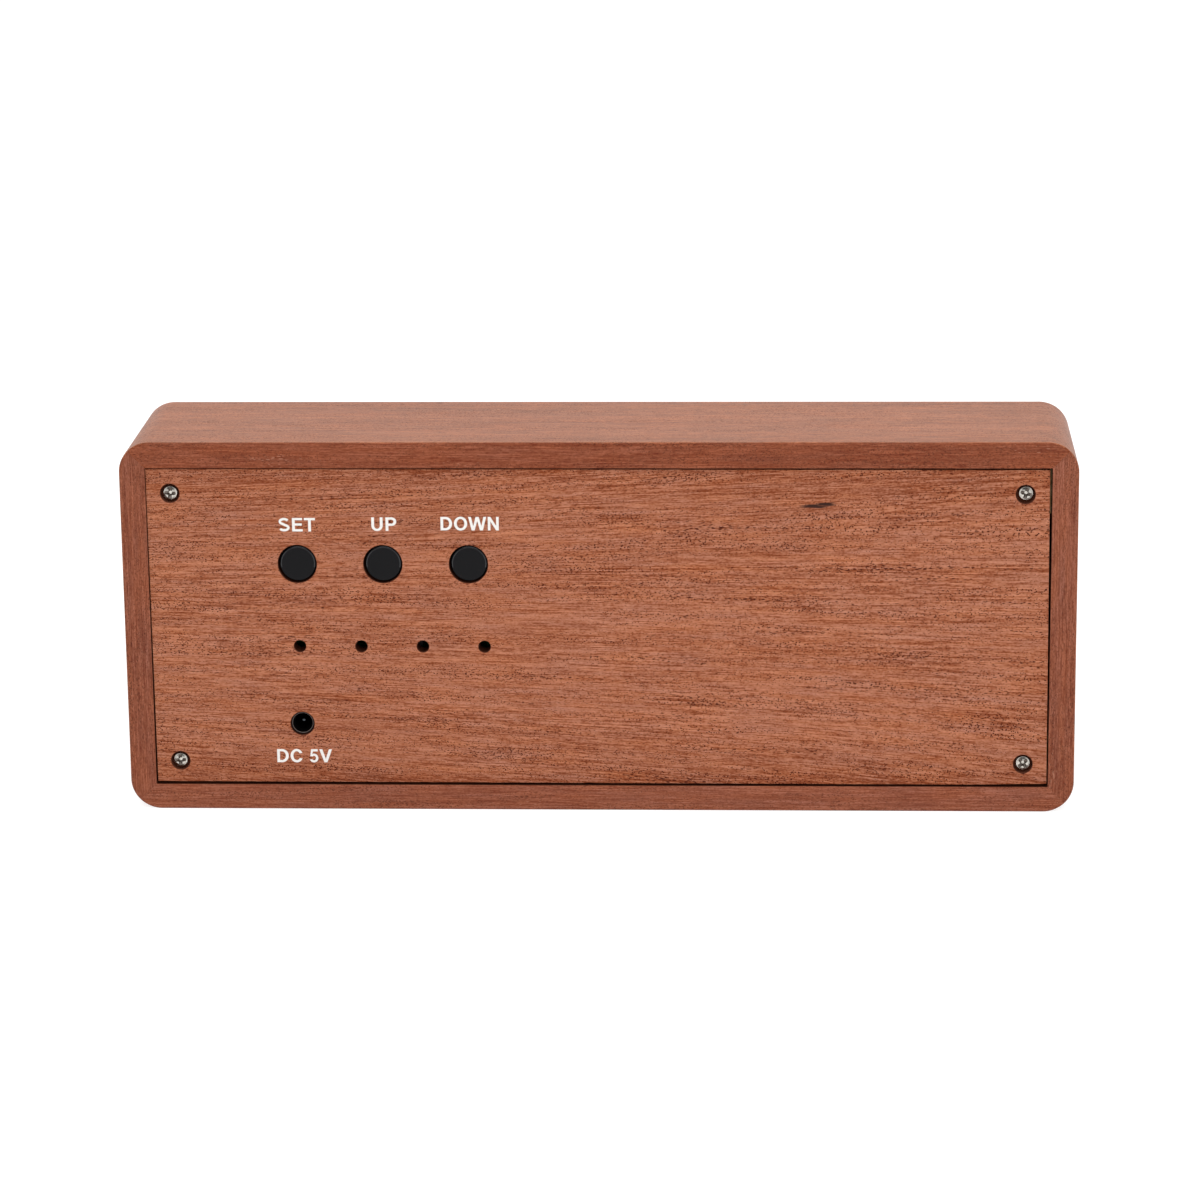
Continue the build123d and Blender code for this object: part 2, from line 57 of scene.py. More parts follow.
# Camera, as solved from the photograph
camera_place = (-44.4 * mm, 894.9 * mm, 280.5 * mm)
camera_turn = math.radians(182.876)
camera_tilt = math.radians(75.026)
camera_roll = math.radians(-0.646)
camera_lens = 129.88
camera_sensor = 36.0
camera_clip = (0.05, 50.0)

# Points nearer than weld are one, and faces nearer than touching lie in the same plane
weld = 0.0001 * mm
touching = 0.001 * mm
# Sides of the turned pieces
screw_sides, cap_sides, dome_sides, socket_sides, pin_sides = 48, 80, 40, 64, 40

# Case boards
case_low = Vector((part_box("left_board")[0].x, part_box("left_board")[0].y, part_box("bottom_board")[0].z))
case_high = Vector((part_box("right_board")[1].x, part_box("right_board")[1].y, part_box("top_board")[1].z))
board_thickness = 5.5 * mm
corner_radius = 6.5 * mm
rim_round = 0.5 * mm
joint_ease = 0.04 * mm
sharp_angle, crease_angle = math.radians(40), math.radians(35)

# Back panel and the holes in it
panel_low, panel_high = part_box("back_panel")
panel_edge_round = 0.2 * mm
panel_edge_cuts = 159
round_steps = (30, 60, 90)
hole_ease = 0.1 * mm
button_hole_radius = 4.05 * mm
sound_hole_radius = 1.25 * mm
sound_hole_row = 36.1 * mm
sound_hole_columns = [column * mm for column in (62.9, 49.9, 36.9, 23.9)]
jack_hole_radius = 2.5 * mm
counterbore_radius = 2.0 * mm
shank_hole_radius = 1.0 * mm
button_hole_sides, sound_hole_sides, jack_hole_sides, counterbore_sides = 72, 40, 56, 48

# How the panel was fitted: leaning, sloping and shifted in its opening, and swollen at its edges
panel_lean = 0.0035
panel_slope = 0.0010
panel_shift = Vector((0.10 * mm, 0, -0.19 * mm))
panel_swell = 0.07 * mm

# Wear along its sawn edges: depth, length and share of ripples, and of nicks where their noise passes a start
panel_chip = 0.09 * mm
chip_height = 40 * mm
ripple_length, ripple_share, ripple_seed = 5 * mm, 0.5, 3.0
nick_length, nick_share, nick_seed, nick_start = 1.6 * mm, 1.6, 9.0, 0.25
worn_corner_length = 24 * mm
worn_corner_rise = 0.3 * mm

# Screws of the back panel
screw_head_radius = 1.6 * mm
screw_shank_radius = 0.85 * mm
screw_tip_length = 1.6 * mm
screw_dome = 0.5 * mm
screw_head_rim = 0.3 * mm
screw_head_height = 1.2 * mm
cross_length = 3.0 * mm
cross_width = 0.8 * mm
cross_depth = 0.95 * mm
cross_taper = 0.22
cross_draft = 0.7
cross_end_round = 0.3 * cross_width
# Faces of the recess: steeper than the dome, and within this share of the head's height
recess_lean = 0.85
recess_reach = 0.9
screw_low, screw_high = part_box("back_panel_screws")
screw_top = screw_high.y
screw_seat = screw_top - screw_head_height
# Each screw's side and level: its turn in degrees, and its shift in its counterbore across and up
screw_seats = {
    (1, 1): (-4.0, 0.02 * mm, -0.09 * mm),
    (-1, 1): (-15.0, -0.10 * mm, 0.10 * mm),
    (1, -1): (3.0, 0.12 * mm, -0.06 * mm),
    (-1, -1): (40.0, -0.04 * mm, 0.04 * mm),
}

# Button caps
cap_radius = 3.7 * mm
cap_edge_round = 0.3 * mm
cap_crown = 0.04 * mm
# Points of the cap's face: radius, and the share of the crown that is lost there
cap_face = ((0.0 * mm, 0.0), (1.5 * mm, 0.2), (2.6 * mm, 0.55))
# Height, from the cap's middle, above which its edge takes the painted highlight
cap_highlight_from = -0.2 * cap_radius
flange_radius = 5.0 * mm
flange_thickness = 1.0 * mm
flange_gap = 0.1 * mm
stem_radius = 1.6 * mm

# Snap domes of the switches
dome_thickness = 0.1 * mm

# DC socket
jack_low, jack_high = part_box("dc_jack_housing")
pin_low, pin_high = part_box("dc_jack_pin")
nose_radius = 2.35 * mm
mouth_radius = 2.1 * mm
mouth_depth = 1.5 * mm
bore_radius = 1.85 * mm
bore_depth = 9.6 * mm
nose_length = 4.0 * mm
pin_radius = 0.65 * mm
pin_root_radius = 1.0 * mm
# How much of the lip's round takes the painted highlight
lip_highlight_share = 0.9

# Printed words: middle, foot, width, on the surface of the panel
ink_thickness = 0.02 * mm
cap_height = 2.9 * mm
words = {
    "label_set": ("SET", 62.9 * mm, 60.9 * mm, 7.65 * mm),
    "label_up": ("UP", 44.63 * mm, 61.04 * mm, 5.25 * mm),
    "label_down": ("DOWN", 26.65 * mm, 61.16 * mm, 12.2 * mm),
    "label_dc": ("DC 5V", 62.69 * mm, 10.38 * mm, 11.7 * mm),
}

# Digits that shine through the veneer of the face
face_low, face_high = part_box("face_veneer")
face_edge_round = 0.15 * mm
digit_columns = [column * mm for column in (-45.0, -19.0, 19.0, 45.0)]
digit_middle = 40.0 * mm
digit_width = 18.0 * mm
digit_height = 32.0 * mm
digit_stroke = 3.8 * mm
segment_gap = 1.0 * mm
colon_rise = 6.5 * mm
colon_radius = 2.0 * mm
glow_fade = 0.7 * mm
glow_lift = 0.02 * mm
shown_time = "1200"
lit_bars = {
    "0": ("top", "bottom", "upper_left", "upper_right", "lower_left", "lower_right"),
    "1": ("upper_right", "lower_right"),
    "2": ("top", "upper_right", "middle", "lower_left", "bottom"),
}

# Sapele's grain, each pattern's length along it, width across it and share of the tone
grain_layers = [
    ("bands", 100 * mm, 5.0 * mm, 0.10),
    ("streaks", 25 * mm, 0.5 * mm, 0.12),
    ("fibres", 10 * mm, 0.22 * mm, 0.32),
    ("threads", 2.4 * mm, 0.22 * mm, 0.30),
    ("cells", 0.6 * mm, 0.24 * mm, 0.26),
]
# Marks in it: spacing along and across the grain, size of the bands that they gather in, how near to the
# middle of its cell a mark is whole and gone, and how strongly the bands swing that
open_pores = ((0.55 * mm, 0.34 * mm), (26 * mm, 2.0 * mm), 0.175, 0.295, 0.58)
long_pores = ((1.3 * mm, 0.32 * mm), (40 * mm, 1.6 * mm), 0.04, 0.20, 0.9)
ray_marks = ((1.6 * mm, 0.34 * mm), (20 * mm, 4.0 * mm), -0.16, 0.0, 1.4)
blush_size = (14 * mm, 1.6 * mm)
blush = (0.22, 0.0, -0.45)
sway_size = (120 * mm, 30 * mm)
sway_reach = 1.6 * mm
straight_height = 50 * mm
# How steeply a panel darkens towards its top and foot, and where a torn streak is whole and gone
dusk_power = 6.0
fleck_core, fleck_edge = 0.55, 1.0
# Lacquered wood: roughness between pores and in them, height of the grain, and light let through by its tones
wood_roughness = (0.42, 0.60)
grain_bump, grain_depth = 0.35, 0.04 * mm
lacquer_ior = 1.5
veil_tones, veil_light = (0.35, 0.65), (0.75, 1.15)
# Moulded and plated stuff, its grit drawn as coarse as it needs to show: the part of the noise that its tones
# span, and the strength of the grit
mottle_low, mottle_high = 0.3, 0.7
mottle_bump = 0.3


def linear(code):
    """Turns an sRGB hex code into a linear colour with alpha."""
    shares = [int(code[place : place + 2], 16) / 255 for place in (0, 2, 4)]
    return [s / 12.92 if s <= 0.04045 else ((s + 0.055) / 1.055) ** 2.4 for s in shares] + [1.0]


def wire(tree, node, sockets):
    """Sets a node's sockets to values, or links them to an output or to another node's first output."""
    for key, value in dict(sockets).items():
        source = value.outputs[0] if isinstance(value, bpy.types.Node) else value
        if isinstance(source, bpy.types.NodeSocket):
            tree.links.new(source, node.inputs[key])
        else:
            node.inputs[key].default_value = source


def add(tree, kind, sockets=(), stops=(), **settings):
    """Adds a shader node with its settings and colour stops, and wires its sockets."""
    made = tree.nodes.new("ShaderNode" + kind)
    for key, value in settings.items():
        setattr(made, key, value)
    for number, (place, code) in enumerate(stops):
        ramp = made.color_ramp.elements
        stop = ramp[number] if number < len(ramp) else ramp.new(place)
        stop.position = place
        stop.color = linear(code)
    wire(tree, made, sockets)
    return made


def bare_tree(owner):
    """Emptied node tree of a material or of the world."""
    owner.use_nodes = True
    owner.node_tree.nodes.clear()
    return owner.node_tree


def start_material(name):
    """New material with its node tree and its main shader."""
    material = bpy.data.materials.new(name)
    tree = bare_tree(material)
    shader = add(tree, "BsdfPrincipled")
    add(tree, "OutputMaterial", {"Surface": shader})
    return material, tree, shader


def along(grain, length, width):
    """Mapping scale that makes one unit of pattern this long along the grain and this wide across it."""
    return [1 / length if axis == grain else 1 / width for axis in "XYZ"]


def span(start, end, first, last):
    """Sockets of a range from start to end that is mapped to one from first to last."""
    return {"From Min": start, "From Max": end, "To Min": first, "To Max": last}


def pattern(tree, kind, place, grain, size, sockets=()):
    """Adds a pattern drawn out along the grain, of a real size along it and across it."""
    laid = add(tree, "Mapping", {"Vector": place, "Scale": along(grain, *size)})
    return add(tree, kind, {"Vector": laid, "Scale": 1.0, **dict(sockets)})


def speckles(tree, place, grain, spacing, bands, core, edge, swing):
    """Mask of short marks along the grain, thick in some bands and missing from others."""
    spots = pattern(tree, "TexVoronoi", place, grain, spacing)
    crowd = pattern(tree, "TexNoise", place, grain, bands, {"Detail": 2.0})
    reach = add(tree, "Math", {0: crowd, 1: -swing, 2: spots}, operation="MULTIPLY_ADD")
    return add(tree, "MapRange", {"Value": reach, **span(core - swing / 2, edge - swing / 2, 1.0, 0.0)})


def laid_along(tree, bare, grain, lean):
    """Place in the wood, with the grain leaning towards the foot of a panel and swaying slowly."""
    place = bare
    if lean:
        x, y, z = add(tree, "SeparateXYZ", {0: bare}).outputs
        rise = add(tree, "Math", {0: z, 1: lean / straight_height, 2: -lean}, operation="MULTIPLY_ADD")
        across = add(tree, "Math", {0: x, 1: rise, 2: z}, operation="MULTIPLY_ADD")
        place = add(tree, "CombineXYZ", {0: x, 1: y, 2: across})
    wander = pattern(tree, "TexNoise", place, grain, sway_size, {"Detail": 1.0}).outputs["Color"]
    sway = [0.0 if axis == grain else sway_reach for axis in "XYZ"]
    return add(tree, "VectorMath", {0: wander, 1: sway, 2: place}, operation="MULTIPLY_ADD")


def grain_tone(tree, bare, place, grain, dusk):
    """Sum of the grain's layers about one half, darker by dusk at a panel's top and foot, and its threads."""
    layers = {}
    tone = 0.5 - sum(share for *_, share in grain_layers) / 2
    for layer, length, width, share in grain_layers:
        layers[layer] = pattern(tree, "TexNoise", place, grain, (length, width), {"Detail": 0.0})
        tone = add(tree, "Math", {0: layers[layer], 1: share, 2: tone}, operation="MULTIPLY_ADD")
    if dusk:
        z = add(tree, "SeparateXYZ", {0: bare}).outputs[2]
        off = add(tree, "MapRange", {"Value": z, **span(panel_low.z, panel_high.z, -1.0, 1.0)})
        edge = add(tree, "Math", {0: off, 1: dusk_power}, operation="POWER")
        tone = add(tree, "Math", {0: edge, 1: -dusk, 2: tone}, operation="MULTIPLY_ADD")
    return tone, layers["threads"]


def torn_streaks(tree, bare, grain, streaks, fibre, tear):
    """Masks of dark streaks whose ends are torn along the fibres."""
    torn = pattern(tree, "TexNoise", bare, grain, fibre, {"Detail": 0.0})
    limits = span(fleck_core + tear / 2, fleck_edge + tear / 2, 1.0, 0.0)
    masks = []
    for centre, size in streaks:
        put = {"Vector": bare, "Location": centre, "Scale": size}
        spot = add(tree, "Mapping", put, vector_type="TEXTURE")
        reach = add(tree, "VectorMath", {0: spot}, operation="LENGTH").outputs["Value"]
        ragged = add(tree, "Math", {0: torn, 1: tear, 2: reach}, operation="MULTIPLY_ADD")
        masks.append(add(tree, "MapRange", {"Value": ragged, **limits}))
    return masks


def sapele(
    name, grain, tones, pore, pore_depth, sheen, rays=None, lean=0.0, dusk=0.0, fleck=None, glow=None
):
    """Sapele veneer, sliced and satin lacquered: red-brown with fine fibres, clusters of short dark pores
    along the grain, and a pale sheen at a low angle from the lacquer."""
    material, tree, shader = start_material(name)
    bare = add(tree, "TexCoord").outputs["Object"]
    place = laid_along(tree, bare, grain, lean)
    tone, threads = grain_tone(tree, bare, place, grain, dusk)
    colour = add(tree, "ValToRGB", {"Fac": tone}, stops=tones)
    cloud = pattern(tree, "TexNoise", place, grain, blush_size, {"Detail": 1.0})
    middle = [1 - share / 2 for share in blush]
    tint = add(tree, "VectorMath", {0: cloud, 1: blush, 2: middle}, operation="MULTIPLY_ADD")
    tinted = {0: 1.0, 6: colour, 7: tint}
    colour = add(tree, "Mix", tinted, data_type="RGBA", blend_type="MULTIPLY").outputs[2]
    dots = speckles(tree, place, grain, *open_pores)
    dashes = speckles(tree, place, grain, *long_pores)
    pores = add(tree, "Math", {0: dots, 1: dashes}, operation="MAXIMUM")
    marks = [(pores, pore_depth, pore)]
    if rays:
        ray, ray_depth = rays
        marks.append((speckles(tree, place, grain, *ray_marks), ray_depth, ray))
    if fleck:
        *shape, fleck_tone = fleck
        marks += [(mask, 1.0, fleck_tone) for mask in torn_streaks(tree, bare, grain, *shape)]
    for mask, depth, mark_tone in marks:
        share = add(tree, "Math", {0: mask, 1: depth}, operation="MULTIPLY")
        colour = add(tree, "Mix", {0: share, 6: colour, 7: linear(mark_tone)}, data_type="RGBA").outputs[2]
    gloss = add(tree, "MapRange", {"Value": pores, **span(0.0, 1.0, *wood_roughness)})
    height = add(tree, "Math", {0: threads, 1: pores}, operation="SUBTRACT")
    bump = add(tree, "Bump", {"Strength": grain_bump, "Distance": grain_depth, "Height": height})
    wire(tree, shader, {"Base Color": colour, "Roughness": gloss, "Normal": bump})
    wire(tree, shader, {"IOR": lacquer_ior, "Specular IOR Level": sheen})
    if glow:
        lit = add(tree, "Attribute", attribute_name="glow").outputs["Fac"]
        veil = add(tree, "MapRange", {"Value": tone, **span(*veil_tones, *veil_light)})
        power = add(tree, "Math", {0: lit, 1: veil}, operation="MULTIPLY")
        wire(tree, shader, {"Emission Color": linear(glow), "Emission Strength": power})
    return material


def mottled(name, pale, dark, roughness, grit, relief, metallic=0.0, specular=0.5, stretch=1.0):
    """Plain moulded, rolled or plated stuff: two close tones, a roughness that wanders, and a fine grit."""
    material, tree, shader = start_material(name)
    place = add(tree, "TexCoord").outputs["Object"]
    scale = (1 / (grit * stretch), 1 / grit, 1 / grit)
    laid = add(tree, "Mapping", {"Vector": place, "Scale": scale})
    grain = add(tree, "TexNoise", {"Vector": laid, "Scale": 1.0, "Detail": 3.0})
    colour = add(tree, "ValToRGB", {"Fac": grain}, stops=[(mottle_low, dark), (mottle_high, pale)])
    gloss = add(tree, "MapRange", {"Value": grain, **span(mottle_low, mottle_high, *roughness)})
    bump = add(tree, "Bump", {"Strength": mottle_bump, "Distance": relief, "Height": grain})
    wire(tree, shader, {"Base Color": colour, "Roughness": gloss, "Normal": bump, "Metallic": metallic})
    if not metallic:
        wire(tree, shader, {"Specular IOR Level": specular})
    return material


def link_object(name, content):
    """New object in the scene, from a mesh, a lamp or a camera."""
    made = bpy.data.objects.new(name, content)
    bpy.context.scene.collection.objects.link(made)
    return made


def to_mesh(name, bm):
    """Turns a bmesh into a mesh and lets go of it."""
    mesh = bpy.data.meshes.new(name)
    bm.to_mesh(mesh)
    bm.free()
    return mesh


def finish_piece(name, bm, materials, body, nodes=(), even=False):
    """Closes a bmesh into a piece at the origin, smooth but for its sharp edges, and puts it on its body."""
    bmesh.ops.remove_doubles(bm, verts=bm.verts, dist=weld)
    bmesh.ops.recalc_face_normals(bm, faces=bm.faces)
    mesh = to_mesh(name, bm)
    for material in materials:
        mesh.materials.append(material)
    mesh.shade_smooth()
    mesh.set_sharp_from_angle(angle=crease_angle)
    piece = link_object(name, mesh)
    if even:
        normals = piece.modifiers.new("even_normals", "WEIGHTED_NORMAL")
        normals.keep_sharp = True
    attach(piece, body)
    if nodes:
        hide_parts(*nodes)
    return piece


def only(parts, kind):
    """Those parts of a bmesh that are of one kind."""
    return [part for part in parts if isinstance(part, kind)]


def block(low, high):
    """New bmesh of a box between two corners."""
    bm = bmesh.new()
    bmesh.ops.create_cube(bm, size=1.0)
    bmesh.ops.scale(bm, vec=high - low, verts=bm.verts)
    bmesh.ops.translate(bm, vec=(high + low) / 2, verts=bm.verts)
    return bm


def round_off(bm, edges, radius, segments):
    """Rounds edges to a radius, with a number of flats."""
    bmesh.ops.bevel(
        bm, geom=edges, offset=radius, affect="EDGES", segments=segments, profile=0.5, material=-1
    )


def thicken(bm, way):
    """Gives flat sheets a thickness along a way."""
    grown = bmesh.ops.extrude_face_region(bm, geom=bm.faces[:])["geom"]
    bmesh.ops.translate(bm, vec=way, verts=only(grown, bmesh.types.BMVert))


def case_board(name, outward, node, materials):
    """One board of the sleeve: a rounded block, cut off at the board's raw inside and at its two mitres."""
    bm = block(case_low, case_high)
    size = case_high - case_low
    middle = (case_high + case_low) / 2
    corners = [edge for edge in bm.edges if abs(edge.verts[0].co.y - edge.verts[1].co.y) > rim_round]
    round_off(bm, corners, corner_radius, segments=20)
    rims = [edge for edge in bm.edges if abs(edge.verts[0].co.y - edge.verts[1].co.y) < rim_round]
    round_off(bm, rims, rim_round, segments=5)
    outward = Vector(outward)
    side = Vector((outward.z, 0, outward.x))
    reach = Vector(abs(outward[axis]) * size[axis] / 2 for axis in range(3))
    half = Vector(abs(side[axis]) * size[axis] / 2 for axis in range(3))
    surface = middle + outward * reach.length
    cuts = [(surface - outward * board_thickness, -outward)]
    cuts += [(surface + way * side * half.length, way * side - outward) for way in (-1, 1)]
    for point, normal in cuts:
        everything = bm.verts[:] + bm.edges[:] + bm.faces[:]
        cut = bmesh.ops.bisect_plane(
            bm, geom=everything, dist=weld, plane_co=point, plane_no=normal, clear_outer=True
        )
        bmesh.ops.edgeloop_fill(bm, edges=only(cut["geom_cut"], bmesh.types.BMEdge))
    sharp = [edge for edge in bm.edges if edge.calc_face_angle(0) > sharp_angle]
    round_off(bm, sharp, joint_ease, segments=2)
    for face in bm.faces:
        spot = face.calc_center_median()
        if any(abs((spot - point).dot(normal)) < touching for point, normal in cuts):
            face.material_index = 2
        else:
            face.material_index = int(abs(face.normal.y) > math.sqrt(0.5))
    return finish_piece(name, bm, materials, "case", [node], even=True)


def ring(bm, x, y, z, radius, count):
    """Ring of loose edges round an axis along Y."""
    put = Matrix.Translation((x, y, z)) @ Matrix.Rotation(math.radians(-90), 4, "X")
    made = bmesh.ops.create_circle(bm, cap_ends=False, radius=radius, segments=count, matrix=put)
    return list(dict.fromkeys(edge for vert in made["verts"] for edge in vert.link_edges))


def carry(bm, edges, middle, steps, coat=0):
    """Extrudes an open rim through steps of scale across and drop along Y, and gives back its last rim."""
    for wide, drop, high in steps:
        grown = bmesh.ops.extrude_edge_only(bm, edges=edges)["geom"]
        verts = only(grown, bmesh.types.BMVert)
        for face in {face for vert in verts for face in vert.link_faces}:
            face.material_index = coat
        edges = [edge for edge in only(grown, bmesh.types.BMEdge) if edge.is_boundary]
        bmesh.ops.scale(bm, vec=(wide, 1, high), verts=verts, space=Matrix.Translation(-Vector(middle)))
        bmesh.ops.translate(bm, vec=(0, -drop, 0), verts=verts)
    return edges


def eased(radius, ease):
    """Steps that round the mouth of a hole from radius plus ease down to its wall."""
    steps = []
    last = radius + ease
    for angle in round_steps:
        now = radius + ease * (1 - math.sin(math.radians(angle)))
        before = math.cos(math.radians(angle - round_steps[0]))
        steps.append((now / last, ease * (before - math.cos(math.radians(angle))), now / last))
        last = now
    return steps


def panel_put():
    """Where the panel was fitted: a little out of square, and off the middle of its opening."""
    middle = (panel_low + panel_high) / 2
    skew = Matrix(((1, 0, panel_lean), (0, 1, 0), (panel_slope, 0, 1))).to_4x4()
    return Matrix.Translation(middle + panel_shift) @ skew @ Matrix.Translation(-middle)


def back_panel(materials):
    """Panel with its bored holes, counterbores and rounded edge, a little chipped along the saw cuts."""
    bm = bmesh.new()
    size = panel_high - panel_low + 2 * panel_swell * Vector((1, 0, 1))
    top = panel_high.y
    thickness = size.y
    middle = Vector(((panel_low.x + panel_high.x) / 2, top, (panel_low.z + panel_high.z) / 2))
    flat = Matrix.Translation(middle) @ Matrix.Rotation(math.radians(-90), 4, "X")
    sheet = bmesh.ops.create_grid(bm, x_segments=1, y_segments=1, size=0.5, matrix=flat)
    wide, tall = size.x - 2 * panel_edge_round, size.z - 2 * panel_edge_round
    bmesh.ops.scale(bm, vec=(wide, 1, tall), verts=sheet["verts"], space=Matrix.Translation(-middle))
    bmesh.ops.delete(bm, geom=bm.faces[:], context="FACES_ONLY")
    bmesh.ops.subdivide_edges(bm, edges=bm.edges[:], cuts=panel_edge_cuts)
    outline = bm.edges[:]
    holes = []
    for key in ("set", "up", "down"):
        low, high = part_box(f"{key}_button")
        holes.append(((low.x + high.x) / 2, (low.z + high.z) / 2, button_hole_radius, button_hole_sides))
    for column in sound_hole_columns:
        holes.append((column, sound_hole_row, sound_hole_radius, sound_hole_sides))
    jack = (jack_low + jack_high) / 2
    holes.append((jack.x, jack.z, jack_hole_radius, jack_hole_sides))
    rims = [(ring(bm, x, top, z, r + hole_ease, count), (x, top, z), r) for x, z, r, count in holes]
    bores = []
    for side, level in screw_seats:
        x, z = screw_place(side, level)
        mouth = counterbore_radius + hole_ease
        bores.append((ring(bm, x, top, z, mouth, counterbore_sides), (x, top, z)))
    bmesh.ops.triangle_fill(bm, edges=bm.edges[:], use_beauty=True, normal=(0, 1, 0))

    rounding = []
    for angle in round_steps:
        end, start = math.radians(angle), math.radians(angle - round_steps[0])
        grow = 2 * panel_edge_round * (math.sin(end) - math.sin(start))
        drop = panel_edge_round * (math.cos(start) - math.cos(end))
        rounding.append(((wide + grow) / wide, drop, (tall + grow) / tall))
        wide, tall = wide + grow, tall + grow
    outline = carry(bm, outline, middle, rounding)
    ends = carry(bm, outline, middle, [(1, thickness - panel_edge_round, 1)], 1)
    for rim, centre, radius in rims:
        ends += carry(bm, rim, centre, eased(radius, hole_ease) + [(1, thickness - hole_ease, 1)], 1)
    seat_depth = top - screw_seat
    narrow = shank_hole_radius / counterbore_radius
    for rim, centre in bores:
        steps = eased(counterbore_radius, hole_ease) + [(1, seat_depth - hole_ease, 1)]
        steps += [(narrow, 0, narrow), (1, thickness - seat_depth, 1)]
        ends += carry(bm, rim, centre, steps, 2)
    bmesh.ops.triangle_fill(bm, edges=ends, use_beauty=True, normal=(0, 1, 0))

    edge_band = 1.5 * panel_edge_round
    for vert in bm.verts:
        if vert.co.z < panel_low.z + edge_band or vert.co.z > panel_high.z - edge_band:
            height = vert.co.z / chip_height
            ripple = noise.noise((vert.co.x / ripple_length, height, ripple_seed))
            nick = max(0.0, noise.noise((vert.co.x / nick_length, height, nick_seed)) - nick_start)
            inward = 1 if vert.co.z < middle.z else -1
            vert.co.z += inward * panel_chip * (ripple_share * ripple + nick_share * nick)
            worn = max(0.0, 1 - (vert.co.x - panel_low.x) / worn_corner_length)
            if inward > 0:
                vert.co.z += worn_corner_rise * worn**2
    bmesh.ops.transform(bm, matrix=panel_put(), verts=bm.verts)
    return finish_piece("panel_veneered", bm, materials, "case", ["back_panel"], even=True)


def screw_place(side, level):
    """Column and row of a panel screw on one side and at one level, each -1 or 1."""
    column = (screw_high.x if side > 0 else screw_low.x) - side * screw_head_radius
    row = (screw_high.z if level > 0 else screw_low.z) - level * screw_head_radius
    return column, row


def turned(bm, profile, x, z, steps):
    """Spins a profile of radius and Y round an axis along Y."""
    verts = [bm.verts.new((x + radius, y, z)) for radius, y in profile]
    edges = [bm.edges.new(pair) for pair in zip(verts, verts[1:])]
    line, axis, angle = verts + edges, (0, 1, 0), 2 * math.pi
    bmesh.ops.spin(bm, geom=line, cent=(x, 0, z), axis=axis, angle=angle, steps=steps, use_merge=True)
    bmesh.ops.remove_doubles(bm, verts=bm.verts, dist=weld)


def arc(wide, high, x, y, start, end, count):
    """Points along a round of two radii about a centre, from one angle to another in degrees."""
    angles = [math.radians(start + (end - start) * number / count) for number in range(count + 1)]
    return [(x + wide * math.cos(angle), y + high * math.sin(angle)) for angle in angles]


def cross_cutter():
    """Solid of a cross recess under the top of a screw: two bars with round ends that taper inwards."""
    bm = bmesh.new()
    for quarter in (0, 90):
        before = set(bm.verts)
        bar = bmesh.ops.create_cube(bm, size=1.0)["verts"]
        bmesh.ops.scale(bm, vec=(cross_length, cross_depth, cross_width), verts=bar)
        bmesh.ops.translate(bm, vec=(0, -cross_depth / 2, 0), verts=bar)
        deep = [vert for vert in bar if vert.co.y < -cross_depth / 2]
        bmesh.ops.scale(bm, vec=(cross_taper, 1, cross_draft), verts=deep)
        mouth = [face for face in bm.faces if set(face.verts) == set(bar) - set(deep)]
        lifted = bmesh.ops.extrude_discrete_faces(bm, faces=mouth)["faces"][0]
        bmesh.ops.translate(bm, vec=(0, screw_dome, 0), verts=lifted.verts)
        fresh = dict.fromkeys(edge for vert in bm.verts if vert not in before for edge in vert.link_edges)
        upright = [edge for edge in fresh if abs(edge.verts[0].co.y - edge.verts[1].co.y) > screw_dome / 2]
        round_off(bm, upright, cross_end_round, segments=4)
        turn = Matrix.Rotation(math.radians(quarter), 3, "Y")
        fresh = [vert for vert in bm.verts if vert not in before]
        bmesh.ops.rotate(bm, cent=(0, 0, 0), matrix=turn, verts=fresh)
    return link_object("cross_cutter", to_mesh("cross_cutter", bm))


def panel_screws(materials):
    """Four cross-recess screws with low domed heads, each stopped at its own turn."""
    bm = bmesh.new()
    head_height = screw_top - screw_seat
    rim = screw_head_rim
    crown = (screw_head_radius**2 + screw_dome**2) / (2 * screw_dome)
    spread = math.degrees(math.asin((screw_head_radius - rim) / crown))
    dome = arc(crown, crown, 0, -crown, 90, 90 - spread, 10)
    edge_y = dome[-1][1]
    edge = arc(rim, rim, screw_head_radius - rim, edge_y - rim, 90, 0, 5)
    foot = screw_low.y - screw_top
    profile = [(0, 0)] + dome[1:] + edge[1:]
    profile += [(screw_head_radius, -head_height), (screw_shank_radius, -head_height)]
    profile += [(screw_shank_radius, foot + screw_tip_length), (0, foot)]
    turned(bm, profile, 0, 0, screw_sides)
    bmesh.ops.recalc_face_normals(bm, faces=bm.faces)
    blank = link_object("screw_blank", to_mesh("screw_blank", bm))
    cutter = cross_cutter()
    recess = blank.modifiers.new("recess", "BOOLEAN")
    recess.operation = "DIFFERENCE"
    recess.solver = "EXACT"
    recess.use_self = True
    recess.object = cutter
    bpy.context.view_layer.update()
    screw = bpy.data.meshes.new_from_object(blank.evaluated_get(bpy.context.evaluated_depsgraph_get()))
    for part in (blank, cutter):
        bpy.data.objects.remove(part)
    # Steep faces of the recess take the darker plate, partly grease and partly painted shade
    for face in screw.polygons:
        within = math.hypot(face.center.x, face.center.z) < screw_head_radius - rim
        wall = face.normal.y < recess_lean and face.center.y > -recess_reach * head_height
        face.material_index = int(within and wall)
    bm = bmesh.new()
    for (side, level), (degrees, across, up) in screw_seats.items():
        x, z = screw_place(side, level)
        before = set(bm.verts)
        bm.from_mesh(screw)
        fresh = [vert for vert in bm.verts if vert not in before]
        turn = Matrix.Rotation(math.radians(degrees), 3, "Y")
        bmesh.ops.rotate(bm, cent=(0, 0, 0), matrix=turn, verts=fresh)
        seat = panel_put() @ Vector((x, screw_top, z)) + Vector((across, 0, up))
        bmesh.ops.translate(bm, vec=seat, verts=fresh)
    return finish_piece(
        "panel_screws", bm, materials, "case", ["back_panel_screws"], even=True
    )


